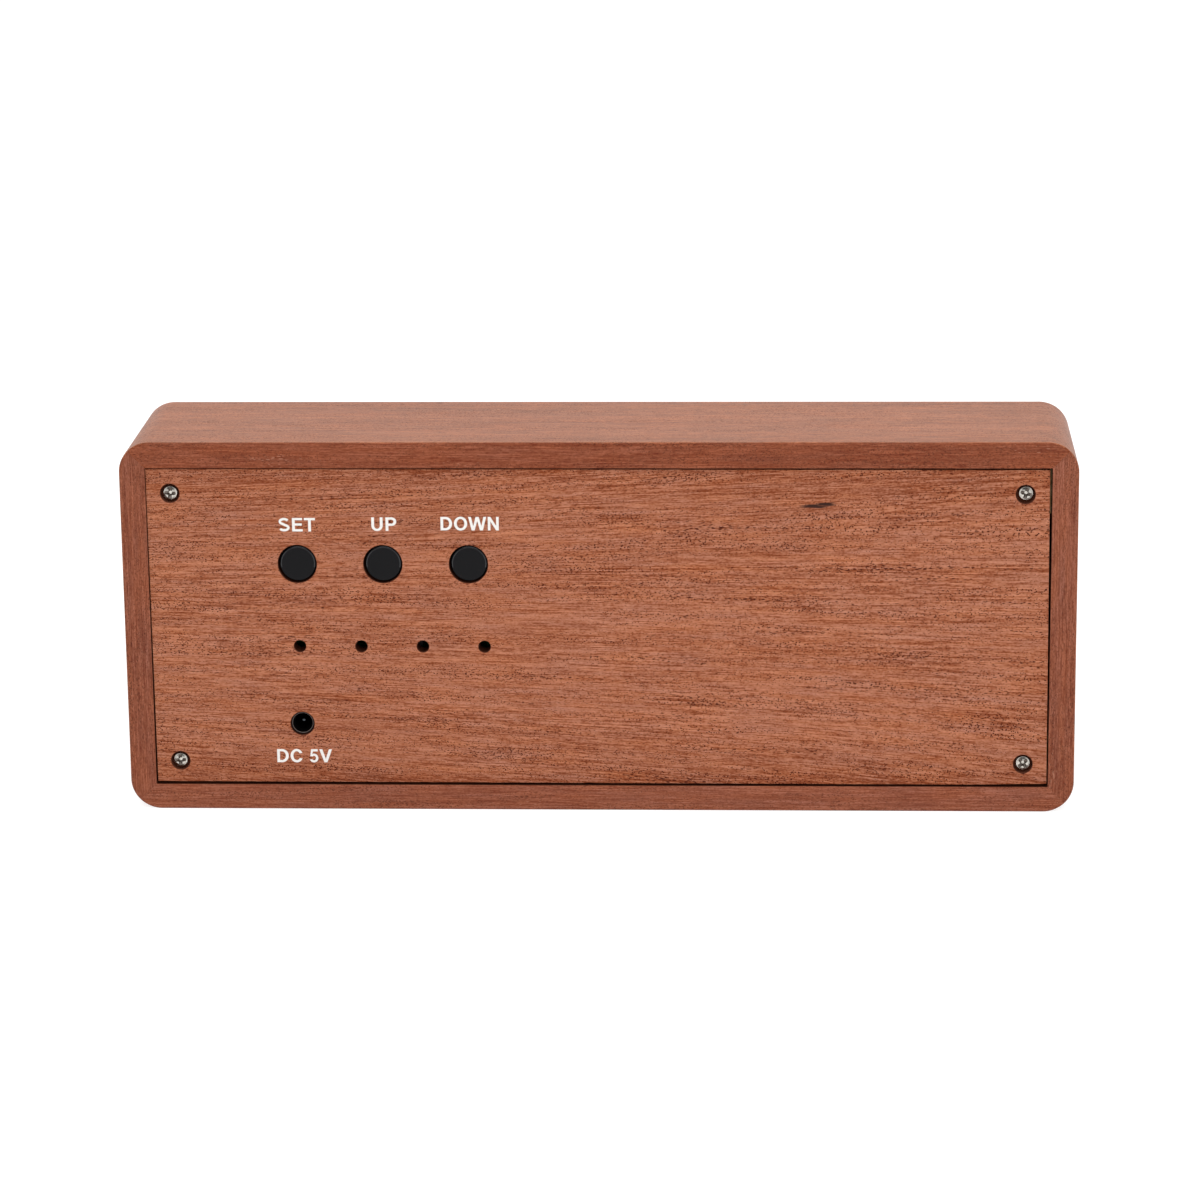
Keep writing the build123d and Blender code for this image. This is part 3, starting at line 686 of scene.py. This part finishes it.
def button_cap(key, materials):
    """Flanged push button with a barely crowned face and a rounded edge, its upper half a painted highlight.
    """
    low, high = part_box(f"{key}_button")
    x, z = (low.x + high.x) / 2, (low.z + high.z) / 2
    flange_top = panel_low.y - flange_gap
    edge_y = high.y - cap_crown - cap_edge_round
    edge = arc(cap_edge_round, cap_edge_round, cap_radius - cap_edge_round, edge_y, 90, 0, 6)
    profile = [(radius, high.y - share * cap_crown) for radius, share in cap_face] + edge
    profile += [(cap_radius, flange_top), (flange_radius, flange_top)]
    profile += [(flange_radius, flange_top - flange_thickness), (stem_radius, flange_top - flange_thickness)]
    profile += [(stem_radius, low.y), (0, low.y)]
    bm = bmesh.new()
    turned(bm, profile, x, z, cap_sides)
    for part in bm.faces:
        middle = part.calc_center_median()
        outer = math.hypot(middle.x - x, middle.z - z) > cap_radius - cap_edge_round
        # The upper half of the edge takes the painted highlight
        upper_half = middle.y > edge_y and middle.z > z + cap_highlight_from
        part.material_index = int(outer and upper_half)
    return finish_piece(
        f"{key}_cap", bm, materials, f"{key}_key", [f"{key}_button"], even=True
    )


def snap_dome(key, material):
    """Spring dome under the plunger of a button."""
    low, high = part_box(f"{key}_switch_dome")
    x, z = (low.x + high.x) / 2, (low.z + high.z) / 2
    rise, reach = high.y - low.y, (high.x - low.x) / 2
    outer = (reach**2 + rise**2) / (2 * rise)
    inner = outer - dome_thickness
    centre = high.y - outer
    outer_foot, inner_foot = (math.degrees(math.asin((low.y - centre) / radius)) for radius in (outer, inner))
    profile = arc(outer, outer, 0, centre, 90, outer_foot, 12)
    profile += arc(inner, inner, 0, centre, inner_foot, 90, 12)
    bm = bmesh.new()
    turned(bm, profile, x, z, dome_sides)
    piece = finish_piece(f"{key}_snap_dome", bm, [material], "case", [f"{key}_switch_dome"])
    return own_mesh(piece)


def dc_socket(shell_materials, pin_material):
    """Nose of the socket with its rounded lip, stepped bore and block, and the pin inside it."""
    middle = (jack_low + jack_high) / 2
    x, z = middle.x, middle.z
    mouth = jack_high.y
    shoulder = mouth - nose_length
    floor = mouth - bore_depth
    lip = (nose_radius - mouth_radius) / 2
    rounded = arc(lip, lip, mouth_radius + lip, mouth - lip, 180, 0, 8)
    profile = [(0, floor), (bore_radius, floor), (bore_radius, mouth - mouth_depth)]
    profile += [(mouth_radius, mouth - mouth_depth)] + rounded + [(nose_radius, shoulder)]
    bm = bmesh.new()
    turned(bm, profile, x, z, socket_sides)
    for part in bm.faces:
        spot = part.calc_center_median()
        # Faces inside the lip's round take the painted highlight, and those deeper in the bore the painted
        # shade
        inner = math.hypot(spot.x - x, spot.z - z) < mouth_radius + lip_highlight_share * lip
        if inner:
            part.material_index = 1 if spot.y > mouth - lip_highlight_share * lip else 2
    nose_end = [edge for edge in bm.edges if edge.is_boundary]
    half = (jack_high.x - jack_low.x) / 2
    grown = bmesh.ops.extrude_edge_only(bm, edges=nose_end)["geom"]
    for vert in only(grown, bmesh.types.BMVert):
        across = Vector((vert.co.x - x, vert.co.z - z))
        across *= half / max(abs(across.x), abs(across.y))
        vert.co = (x + across.x, vert.co.y, z + across.y)
    rim = [edge for edge in only(grown, bmesh.types.BMEdge) if edge.is_boundary]
    rim = carry(bm, rim, (x, shoulder, z), [(1, shoulder - jack_low.y, 1)])
    bmesh.ops.edgeloop_fill(bm, edges=rim)
    shell = finish_piece("dc_socket_shell", bm, shell_materials, "case", ["dc_jack_housing"])
    tip = pin_high.y
    profile = arc(pin_radius, pin_radius, 0, tip - pin_radius, 90, 0, 8)
    profile += [(pin_radius, floor), (pin_root_radius, floor), (pin_root_radius, pin_low.y), (0, pin_low.y)]
    bm = bmesh.new()
    turned(bm, profile, x, z, pin_sides)
    pin = finish_piece("dc_socket_pin", bm, [pin_material], "case", ["dc_jack_pin"])
    return shell, pin


def stroke(points, width):
    """Outline round a line of points, as wide as a brush."""
    sides = [], []
    for number, point in enumerate(points):
        ahead = Vector(points[min(number + 1, len(points) - 1)])
        across = (ahead - Vector(points[max(number - 1, 0)])).orthogonal().normalized() * width / 2
        sides[0].append(Vector(point) + across)
        sides[1].append(Vector(point) - across)
    return sides[0] + sides[1][::-1]


def letters():
    """Plain bold capitals as closed outlines, one unit high: left margin, advance, outlines."""
    e_arms = [(0.758, 0), (0.758, 0.17), (0.2, 0.17), (0.2, 0.43), (0.7, 0.43), (0.7, 0.6), (0.2, 0.6)]
    e_top = [(0.2, 0.83), (0.735, 0.83), (0.735, 1), (0, 1)]
    t_foot = [(0.298, 0), (0.498, 0), (0.498, 0.83)]
    t_top = [(0.796, 0.83), (0.796, 1), (0, 1), (0, 0.83), (0.298, 0.83)]
    n_left = [(0, 0), (0.19, 0), (0.19, 0.65), (0.595, 0), (0.791, 0)]
    n_right = [(0.791, 1), (0.601, 1), (0.601, 0.34), (0.19, 1), (0, 1)]
    w_top = [(0, 1), (0.205, 1), (0.36, 0.32), (0.545, 1), (0.765, 1), (0.95, 0.32), (1.105, 1), (1.308, 1)]
    w_foot = [(1.06, 0), (0.845, 0), (0.654, 0.7), (0.463, 0), (0.245, 0)]
    v_shape = [(0, 1), (0.225, 1), (0.468, 0.27), (0.708, 1), (0.932, 1), (0.576, 0), (0.356, 0)]
    s_line = arc(0.295, 0.18, 0.405, 0.735, 25, 245, 16) + arc(0.31, 0.185, 0.41, 0.275, 65, -155, 16)
    c_shape = arc(0.455, 0.515, 0.455, 0.5, 24, 336, 28) + arc(0.245, 0.34, 0.455, 0.5, 328, 32, 28)
    o_bowl = arc(0.4825, 0.515, 0.4825, 0.5, 0, 360, 36)[:-1]
    o_hole = arc(0.275, 0.345, 0.4825, 0.5, 0, 360, 36)[:-1]
    d_bowl = [(0, 0)] + arc(0.462, 0.5, 0.38, 0.5, -90, 90, 20) + [(0, 1)]
    d_hole = [(0.2, 0.17)] + arc(0.27, 0.33, 0.36, 0.5, -90, 90, 20) + [(0.2, 0.83)]
    p_bowl = [(0, 0), (0.2, 0), (0.2, 0.37)] + arc(0.337, 0.315, 0.43, 0.685, -90, 90, 16) + [(0, 1)]
    p_hole = [(0.2, 0.54)] + arc(0.145, 0.145, 0.42, 0.685, -90, 90, 12) + [(0.2, 0.83)]
    u_shape = [(0, 1)] + arc(0.403, 0.405, 0.403, 0.39, 180, 360, 20) + [(0.806, 1), (0.606, 1)]
    u_shape += arc(0.203, 0.235, 0.403, 0.39, 0, -180, 16) + [(0.2, 1)]
    five = [(0.6, 1), (0.125, 1), (0.045, 0.465)] + arc(0.14, 0.17, 0.318, 0.325, 135, -150, 16)
    five += arc(0.32, 0.34, 0.318, 0.325, -160, 112, 20) + [(0.262, 0.83), (0.6, 0.83)]
    return {
        "S": (0.05, 0.932, [stroke(s_line, 0.18)]),
        "E": (0.102, 0.932, [[(0, 0)] + e_arms + e_top]),
        "T": (0.029, 0.853, [t_foot + t_top]),
        "U": (0.099, 1.009, [u_shape]),
        "P": (0.102, 0.932, [p_bowl, p_hole]),
        "D": (0.101, 1.009, [d_bowl, d_hole]),
        "O": (0.061, 1.087, [o_bowl, o_hole]),
        "W": (0.006, 1.319, [w_top + w_foot]),
        "N": (0.104, 1.009, [n_left + n_right]),
        "C": (0.065, 1.009, [c_shape]),
        "5": (0.062, 0.777, [five]),
        "V": (0.0, 0.932, [v_shape]),
        " ": (0.0, 0.388, []),
    }


def printed_word(name, word, middle, foot, width, material):
    """One word of white ink on the panel, readable from the back."""
    bm = bmesh.new()
    pen = 0.0
    alphabet = letters()
    for letter in word:
        margin, advance, outlines = alphabet[letter]
        edges = []
        for outline in outlines:
            verts = [bm.verts.new((pen + margin + x, y, 0)) for x, y in outline]
            edges += [bm.edges.new(pair) for pair in zip(verts, verts[1:] + verts[:1])]
        if edges:
            bmesh.ops.triangle_fill(bm, edges=edges, use_beauty=True, normal=(0, 0, 1))
        pen += advance
    left = min(vert.co.x for vert in bm.verts)
    right = max(vert.co.x for vert in bm.verts)
    bmesh.ops.translate(bm, vec=(-(left + right) / 2, 0, 0), verts=bm.verts)
    bmesh.ops.scale(bm, vec=(width / (right - left), cap_height, 1), verts=bm.verts)
    thicken(bm, (0, 0, ink_thickness))
    read_from_back = Matrix(((-1, 0, 0, middle), (0, 0, 1, panel_high.y), (0, 1, 0, foot), (0, 0, 0, 1)))
    bmesh.ops.transform(bm, matrix=read_from_back, verts=bm.verts)
    return finish_piece(name, bm, [material], "case")


def face_sheet(material):
    """Veneer of the face, with its edges just broken."""
    bm = block(face_low, face_high)
    front = [edge for edge in bm.edges if all(vert.co.y < face_low.y + touching for vert in edge.verts)]
    round_off(bm, front, face_edge_round, segments=3)
    return finish_piece("face_veneered", bm, [material], "case", ["face_veneer"], even=True)


def shining_digits(material):
    """Bars and dots of the shown time as thin sheets on the veneer, brightest in the middle of each."""
    bm = bmesh.new()
    glow = bm.verts.layers.float.new("glow")
    across = digit_width - digit_stroke
    down = (digit_height - digit_stroke) / 2
    bars = {
        "top": (0, down, False),
        "middle": (0, 0, False),
        "bottom": (0, -down, False),
        "upper_left": (-across / 2, down / 2, True),
        "upper_right": (across / 2, down / 2, True),
        "lower_left": (-across / 2, -down / 2, True),
        "lower_right": (across / 2, -down / 2, True),
    }
    level = face_low.y
    facing = Matrix.Rotation(math.radians(90), 4, "X")
    pointing_along = Matrix.Rotation(math.radians(90), 4, "Z")
    for column, digit in zip(digit_columns, shown_time):
        for bar in lit_bars[digit]:
            x, z, upright = bars[bar]
            long_way = (down if upright else across) - segment_gap
            made = bmesh.ops.create_circle(
                bm, cap_ends=True, radius=digit_stroke, segments=6, matrix=pointing_along
            )["verts"]
            # A hexagon flattened until its ends are right angles
            bmesh.ops.scale(bm, vec=(1, 1 / math.sqrt(3), 1), verts=made)
            for way in (-1, 1):
                half = [vert for vert in made if vert.co.x * way > 0]
                bmesh.ops.translate(bm, vec=(way * (long_way / 2 - digit_stroke), 0, 0), verts=half)
            turn = Matrix.Rotation(math.radians(90 if upright else 0), 4, "Z")
            put = Matrix.Translation((column + x, level, digit_middle + z)) @ facing @ turn
            bmesh.ops.transform(bm, matrix=put, verts=made)
    for way in (-1, 1):
        put = Matrix.Translation((0, level, digit_middle + way * colon_rise)) @ facing
        bmesh.ops.create_circle(bm, cap_ends=True, radius=colon_radius, segments=32, matrix=put)
    sheets = bm.faces[:]
    bmesh.ops.inset_individual(bm, faces=sheets, thickness=glow_fade, use_even_offset=True)
    for sheet in sheets:
        for vert in sheet.verts:
            vert[glow] = 1.0
    thicken(bm, (0, -glow_lift, 0))
    return finish_piece("shining_digits", bm, [material], "case")


# The boards' edges are darker and quieter than the panel, and their faces lighter and yellower
# Painted shade on the top edge, a shade darker, and painted light from the floor on the foot edge, a shade
# lighter
top_edge_shaded_tones = [(0.33, "6D2D15"), (0.50, "824329"), (0.67, "99563C")]
foot_edge_lit_tones = [(0.33, "773A24"), (0.50, "8D5038"), (0.67, "A3644D")]
side_edge_tones = [(0.33, "6D311C"), (0.50, "834831"), (0.67, "9B5C45")]
# Painted sheen: the faces' tones are lighter and yellower than the edges' for the warm sheen of light from
# above
board_tones_with_sheen = [(0.33, "783F1B"), (0.50, "9B5935"), (0.67, "B8724C")]
board_pores = ("3E1A0C", 0.6)
edge_rays = ("C08A70", 0.5)
edge_sheen, board_sheen, panel_sheen = 0.18, 0.32, 0.10
top_edge = sapele("sapele_top_edge_shaded", "X", top_edge_shaded_tones, *board_pores, edge_sheen, rays=edge_rays)
foot_edge = sapele("sapele_foot_edge_lit", "X", foot_edge_lit_tones, *board_pores, edge_sheen, rays=edge_rays)
upright_edge = sapele("sapele_upright_edge", "Z", side_edge_tones, *board_pores, edge_sheen, rays=edge_rays)
flat_face = sapele("sapele_flat_board_with_sheen", "X", board_tones_with_sheen, *board_pores, board_sheen)
upright_face = sapele("sapele_upright_board_with_sheen", "Z", board_tones_with_sheen, *board_pores, board_sheen)
panel_tones = [(0.33, "7B3C21"), (0.42, "925338"), (0.50, "A5674B"), (0.58, "B27358"), (0.67, "BC7E61")]
panel_pores = ("380600", 0.95)
# A torn spot near the panel's top: middle and reach of its streaks, its fibres, how far they tear, its tone
panel_fleck = (
    [
        ((-47.6 * mm, panel_high.y, 66.75 * mm), (2.6 * mm, 5.0 * mm, 0.52 * mm)),
        ((-45.0 * mm, panel_high.y, 66.4 * mm), (3.2 * mm, 5.0 * mm, 0.44 * mm)),
    ],
    (3.0 * mm, 0.3 * mm),
    -1.2,
    "38211A",
)
panel_lines = {"lean": 0.1, "dusk": 0.08, "fleck": panel_fleck}
panel_wood = sapele("sapele_panel", "X", panel_tones, *panel_pores, panel_sheen, **panel_lines)
face_wood = sapele("sapele_face", "X", panel_tones, *panel_pores, panel_sheen)
lit_wood = sapele("sapele_lit_from_behind", "X", panel_tones, *panel_pores, panel_sheen, glow="FFF0DA")

# Bare wood inside the sleeve and in bored holes: dry and woolly, and dark partly as painted shade in the gaps
# and holes
raw_and_shaded_wood = mottled("sapele_raw_shaded", "5A2E1D", "3A1B10", (0.80, 0.92), 0.5 * mm, 0.03 * mm, specular=0.15)
# Bare wood of the counterbores: a lighter copy of the raw wood, painted light that falls into them from above
lit_bored_wood = mottled("sapele_bored_lit", "663826", "462216", (0.80, 0.92), 0.4 * mm, 0.03 * mm, specular=0.15)
# ABS moulded against a spark-eroded tool: near black, and matt from its grit
button_abs = mottled(
    "abs_moulded_black", "131214", "0E0E10", (0.48, 0.60), 0.25 * mm, 0.01 * mm, specular=0.13
)
# The same ABS, smoother and a little lighter, on the upper half of a cap's edge: a painted highlight, a thin
# bright line
button_edge_highlight = mottled(
    "abs_edge_highlight_black", "1D1C20", "151417", (0.18, 0.28), 0.25 * mm, 0.004 * mm, specular=0.45
)
# Nickel plate on tumbled steel: bright, with dents and burrs from the driver
nickel = mottled("nickel_plate", "DDD8CF", "A5A098", (0.12, 0.28), 0.4 * mm, 0.015 * mm, metallic=1.0)
# The same plate in the recess, thin over the punched steel and greasy, and darker as painted shade in the
# hollow
nickel_recess_grease_and_shade = mottled(
    "nickel_in_recess_shaded", "B0A69E", "7C726B", (0.45, 0.60), 0.3 * mm, 0.01 * mm, metallic=1.0
)
# PBT of the socket: black and shiny; its lip lighter as a painted highlight, and its bore darker as painted
# shade
socket_pbt = mottled(
    "pbt_moulded_black", "1E1D1E", "141314", (0.35, 0.50), 0.3 * mm, 0.008 * mm, specular=0.3
)
socket_lip_highlight = mottled("pbt_lip_highlight", "5A4A42", "3E322C", (0.25, 0.40), 0.3 * mm, 0.004 * mm, specular=0.6)
socket_bore_shade = mottled("pbt_bore_shaded_black", "080708", "040404", (0.60, 0.75), 0.3 * mm, 0.008 * mm, specular=0.05)
# Tinned brass of the socket's pin: grey, darker than the tin plate as painted shade deep in its bore
pin_tin_shaded = mottled("tinned_pin_shaded", "5E6368", "43474B", (0.18, 0.28), 0.3 * mm, 0.004 * mm, metallic=1.0)
# Tin plate: grey and soft-edged
tin = mottled("tin_plate", "B9BBC0", "96999F", (0.28, 0.45), 0.5 * mm, 0.006 * mm, metallic=1.0)
# Screen ink: white and flat, a little thin where the wood's pores take it
ink = mottled("screen_ink_white", "F2EFEB", "E6E3DE", (0.55, 0.70), 0.3 * mm, 0.01 * mm, specular=0.3)

# Finishes of the nodes that keep their own shapes, by slot
finish_of_slot = {
    "screw_nickel": nickel,
    "plated_steel": tin,
    # Sawn pine of the glue blocks: pale with woolly grain
    "block_wood": mottled("pine_sawn", "D9BC8C", "B8935F", (0.70, 0.85), 0.8 * mm, 0.08 * mm, stretch=14.0),
    # Fibreboard dyed black: felt-like and dull
    "mask_board": mottled(
        "fibreboard_black", "1C1A19", "121110", (0.80, 0.92), 0.6 * mm, 0.05 * mm, specular=0.3
    ),
    # Solder mask over copper: green and glossy, blotched by the copper under it
    "circuit_board": mottled("solder_mask_green", "1F6A3A", "134B28", (0.22, 0.38), 2.2 * mm, 0.02 * mm),
    # Moulding resin of chips: charcoal with a fine sandy bloom
    "chip_resin": mottled("moulding_resin_black", "29282A", "1A191B", (0.48, 0.66), 0.2 * mm, 0.01 * mm),
    # Natural nylon and polyester: milky and waxy
    "spacer_nylon": mottled("nylon_natural", "E6E3D8", "D6D2C4", (0.42, 0.55), 0.6 * mm, 0.01 * mm),
    "holder_plastic": mottled("polyester_natural", "DCD6C2", "C8C1AA", (0.45, 0.60), 0.5 * mm, 0.01 * mm),
    # White polystyrene of the light cells: bright and even
    "reflector_white": mottled("polystyrene_white", "EFEFEC", "E2E2DE", (0.40, 0.55), 0.6 * mm, 0.01 * mm),
    # Frosted film: milky, barely textured
    "diffuser": mottled("frosted_film", "F0F0EE", "E4E4E1", (0.60, 0.75), 0.4 * mm, 0.01 * mm),
    # Phosphor resin of the light chips: yellow under a clear skin
    "led_resin": mottled("phosphor_resin", "E6D36B", "CDB84A", (0.20, 0.32), 0.3 * mm, 0.005 * mm),
    # Rolled brass of the sounder's disc: yellow with fine drawn lines
    "brass_disc": mottled(
        "brass_rolled", "C9A45A", "AD8841", (0.25, 0.40), 0.3 * mm, 0.004 * mm, metallic=1.0, stretch=12.0
    ),
    # Sintered ferrite: dark grey and granular
    "ferrite": mottled("ferrite_sintered", "343437", "242427", (0.60, 0.78), 0.3 * mm, 0.03 * mm),
    # Shrunk sleeve of the capacitor: deep blue-black and shiny
    "capacitor_can": mottled("shrink_sleeve_dark", "1B2036", "121628", (0.20, 0.32), 0.8 * mm, 0.006 * mm),
    # Vinyl of the ribbon: mid grey with lines along its run
    "ribbon_vinyl": mottled(
        "ribbon_vinyl_grey", "9A9A98", "7E7E7C", (0.45, 0.60), 0.6 * mm, 0.03 * mm, stretch=0.5
    ),
}
for subpart in frame["record"]["subparts"]:
    finish = finish_of_slot.get(subpart["material_slot"])
    if finish:
        for place in frame["nodes"][subpart["node"]].material_slots:
            place.material = finish

case_board("case_top", (0, 0, 1), "top_board", [flat_face, top_edge, raw_and_shaded_wood])
case_board("case_bottom", (0, 0, -1), "bottom_board", [flat_face, foot_edge, raw_and_shaded_wood])
case_board("case_left", (-1, 0, 0), "left_board", [upright_face, upright_edge, raw_and_shaded_wood])
case_board("case_right", (1, 0, 0), "right_board", [upright_face, upright_edge, raw_and_shaded_wood])
back_panel([panel_wood, raw_and_shaded_wood, lit_bored_wood])
panel_screws([nickel, nickel_recess_grease_and_shade])
for key in ("set", "up", "down"):
    button_cap(key, [button_abs, button_edge_highlight])
    snap_dome(key, tin)
dc_socket([socket_pbt, socket_lip_highlight, socket_bore_shade], pin_tin_shaded)
for name, (word, middle, foot, width) in words.items():
    printed_word(name, word, middle, foot, width, ink)
face_sheet(face_wood)
shining_digits(lit_wood)


def shown_rays(tree):
    """One for rays that show a thing to the eye, straight or in gloss or glass, and zero for its light."""
    rays = add(tree, "LightPath").outputs
    seen = add(tree, "Math", {0: rays["Is Camera Ray"], 1: rays["Is Glossy Ray"]}, operation="MAXIMUM")
    return add(tree, "Math", {0: seen, 1: rays["Is Transmission Ray"]}, operation="MAXIMUM")


# White paper floor: seen, it is white but for the object's faint shadow
floor_size = 12.0
floor_glow = 0.84
floor_shade = 0.35
bm = bmesh.new()
bmesh.ops.create_grid(bm, x_segments=1, y_segments=1, size=floor_size / 2)
floor = link_object("floor", to_mesh("floor", bm))
paper = bpy.data.materials.new("seamless_paper_white")
tree = bare_tree(paper)
shadowed = add(tree, "BsdfDiffuse", {"Color": [floor_shade] * 3 + [1.0]})
glowing = add(tree, "Emission", {"Color": linear("FFFFFF"), "Strength": floor_glow})
shown = add(tree, "AddShader", {0: shadowed, 1: glowing})
matt = add(tree, "BsdfDiffuse", {"Color": linear("F0F0F0")})
mixed = add(tree, "MixShader", {0: shown_rays(tree), 1: matt, 2: shown})
add(tree, "OutputMaterial", {"Surface": mixed})
floor.data.materials.append(paper)

# Soft studio: an even white room, dark in gloss above the camera, a wide lamp overhead and one by the camera
room_light = 0.5
dark_gloss = 0.12
dark_rise = math.radians(75)
dark_way = (0.0, math.cos(dark_rise), math.sin(dark_rise))
dark_start, dark_full = 0.40, 0.62
world = bpy.data.worlds.new("studio")
bpy.context.scene.world = world
tree = bare_tree(world)
way = add(tree, "TexCoord").outputs["Generated"]
near = add(tree, "VectorMath", {0: way, 1: dark_way}, operation="DOT_PRODUCT").outputs["Value"]
ceiling = add(tree, "MapRange", {"Value": near, **span(dark_start, dark_full, 1.0, dark_gloss)})
gloss = add(tree, "LightPath").outputs["Is Glossy Ray"]
seen = add(tree, "MapRange", {"Value": gloss, **span(0.0, 1.0, 1.0, ceiling)})
strength = add(tree, "MapRange", {"Value": shown_rays(tree), **span(0.0, 1.0, room_light, seen)})
air = add(tree, "Background", {"Color": linear("FFFFFF"), "Strength": strength})
add(tree, "OutputWorld", {"Surface": air})


def lamp(name, place, target, size, watts, in_gloss):
    """Square soft lamp aimed at a point, seen or not seen in gloss."""
    light = bpy.data.lights.new(name, "AREA")
    light.shape = "SQUARE"
    light.size = size
    light.energy = watts
    stand = link_object(name, light)
    stand.location = place
    stand.rotation_euler = (Vector(target) - Vector(place)).to_track_quat("-Z", "Y").to_euler()
    stand.visible_glossy = in_gloss


case_middle = (0, 0, 0.04)
lamp("overhead_lamp", (0.0, 0.1, 1.3), case_middle, size=1.4, watts=13.0, in_gloss=True)
lamp("camera_side_lamp", (-0.3, 1.4, 0.75), case_middle, size=1.2, watts=9.0, in_gloss=False)

lens = bpy.data.cameras.new("camera")
lens.sensor_width = camera_sensor
lens.lens = camera_lens
lens.clip_start, lens.clip_end = camera_clip
camera = link_object("camera", lens)
aim = Matrix.Rotation(camera_turn, 4, "Z") @ Matrix.Rotation(camera_tilt, 4, "X")
camera.matrix_world = Matrix.Translation(camera_place) @ aim @ Matrix.Rotation(camera_roll, 4, "Z")
bpy.context.scene.camera = camera
bpy.context.scene.view_settings.view_transform = "Standard"
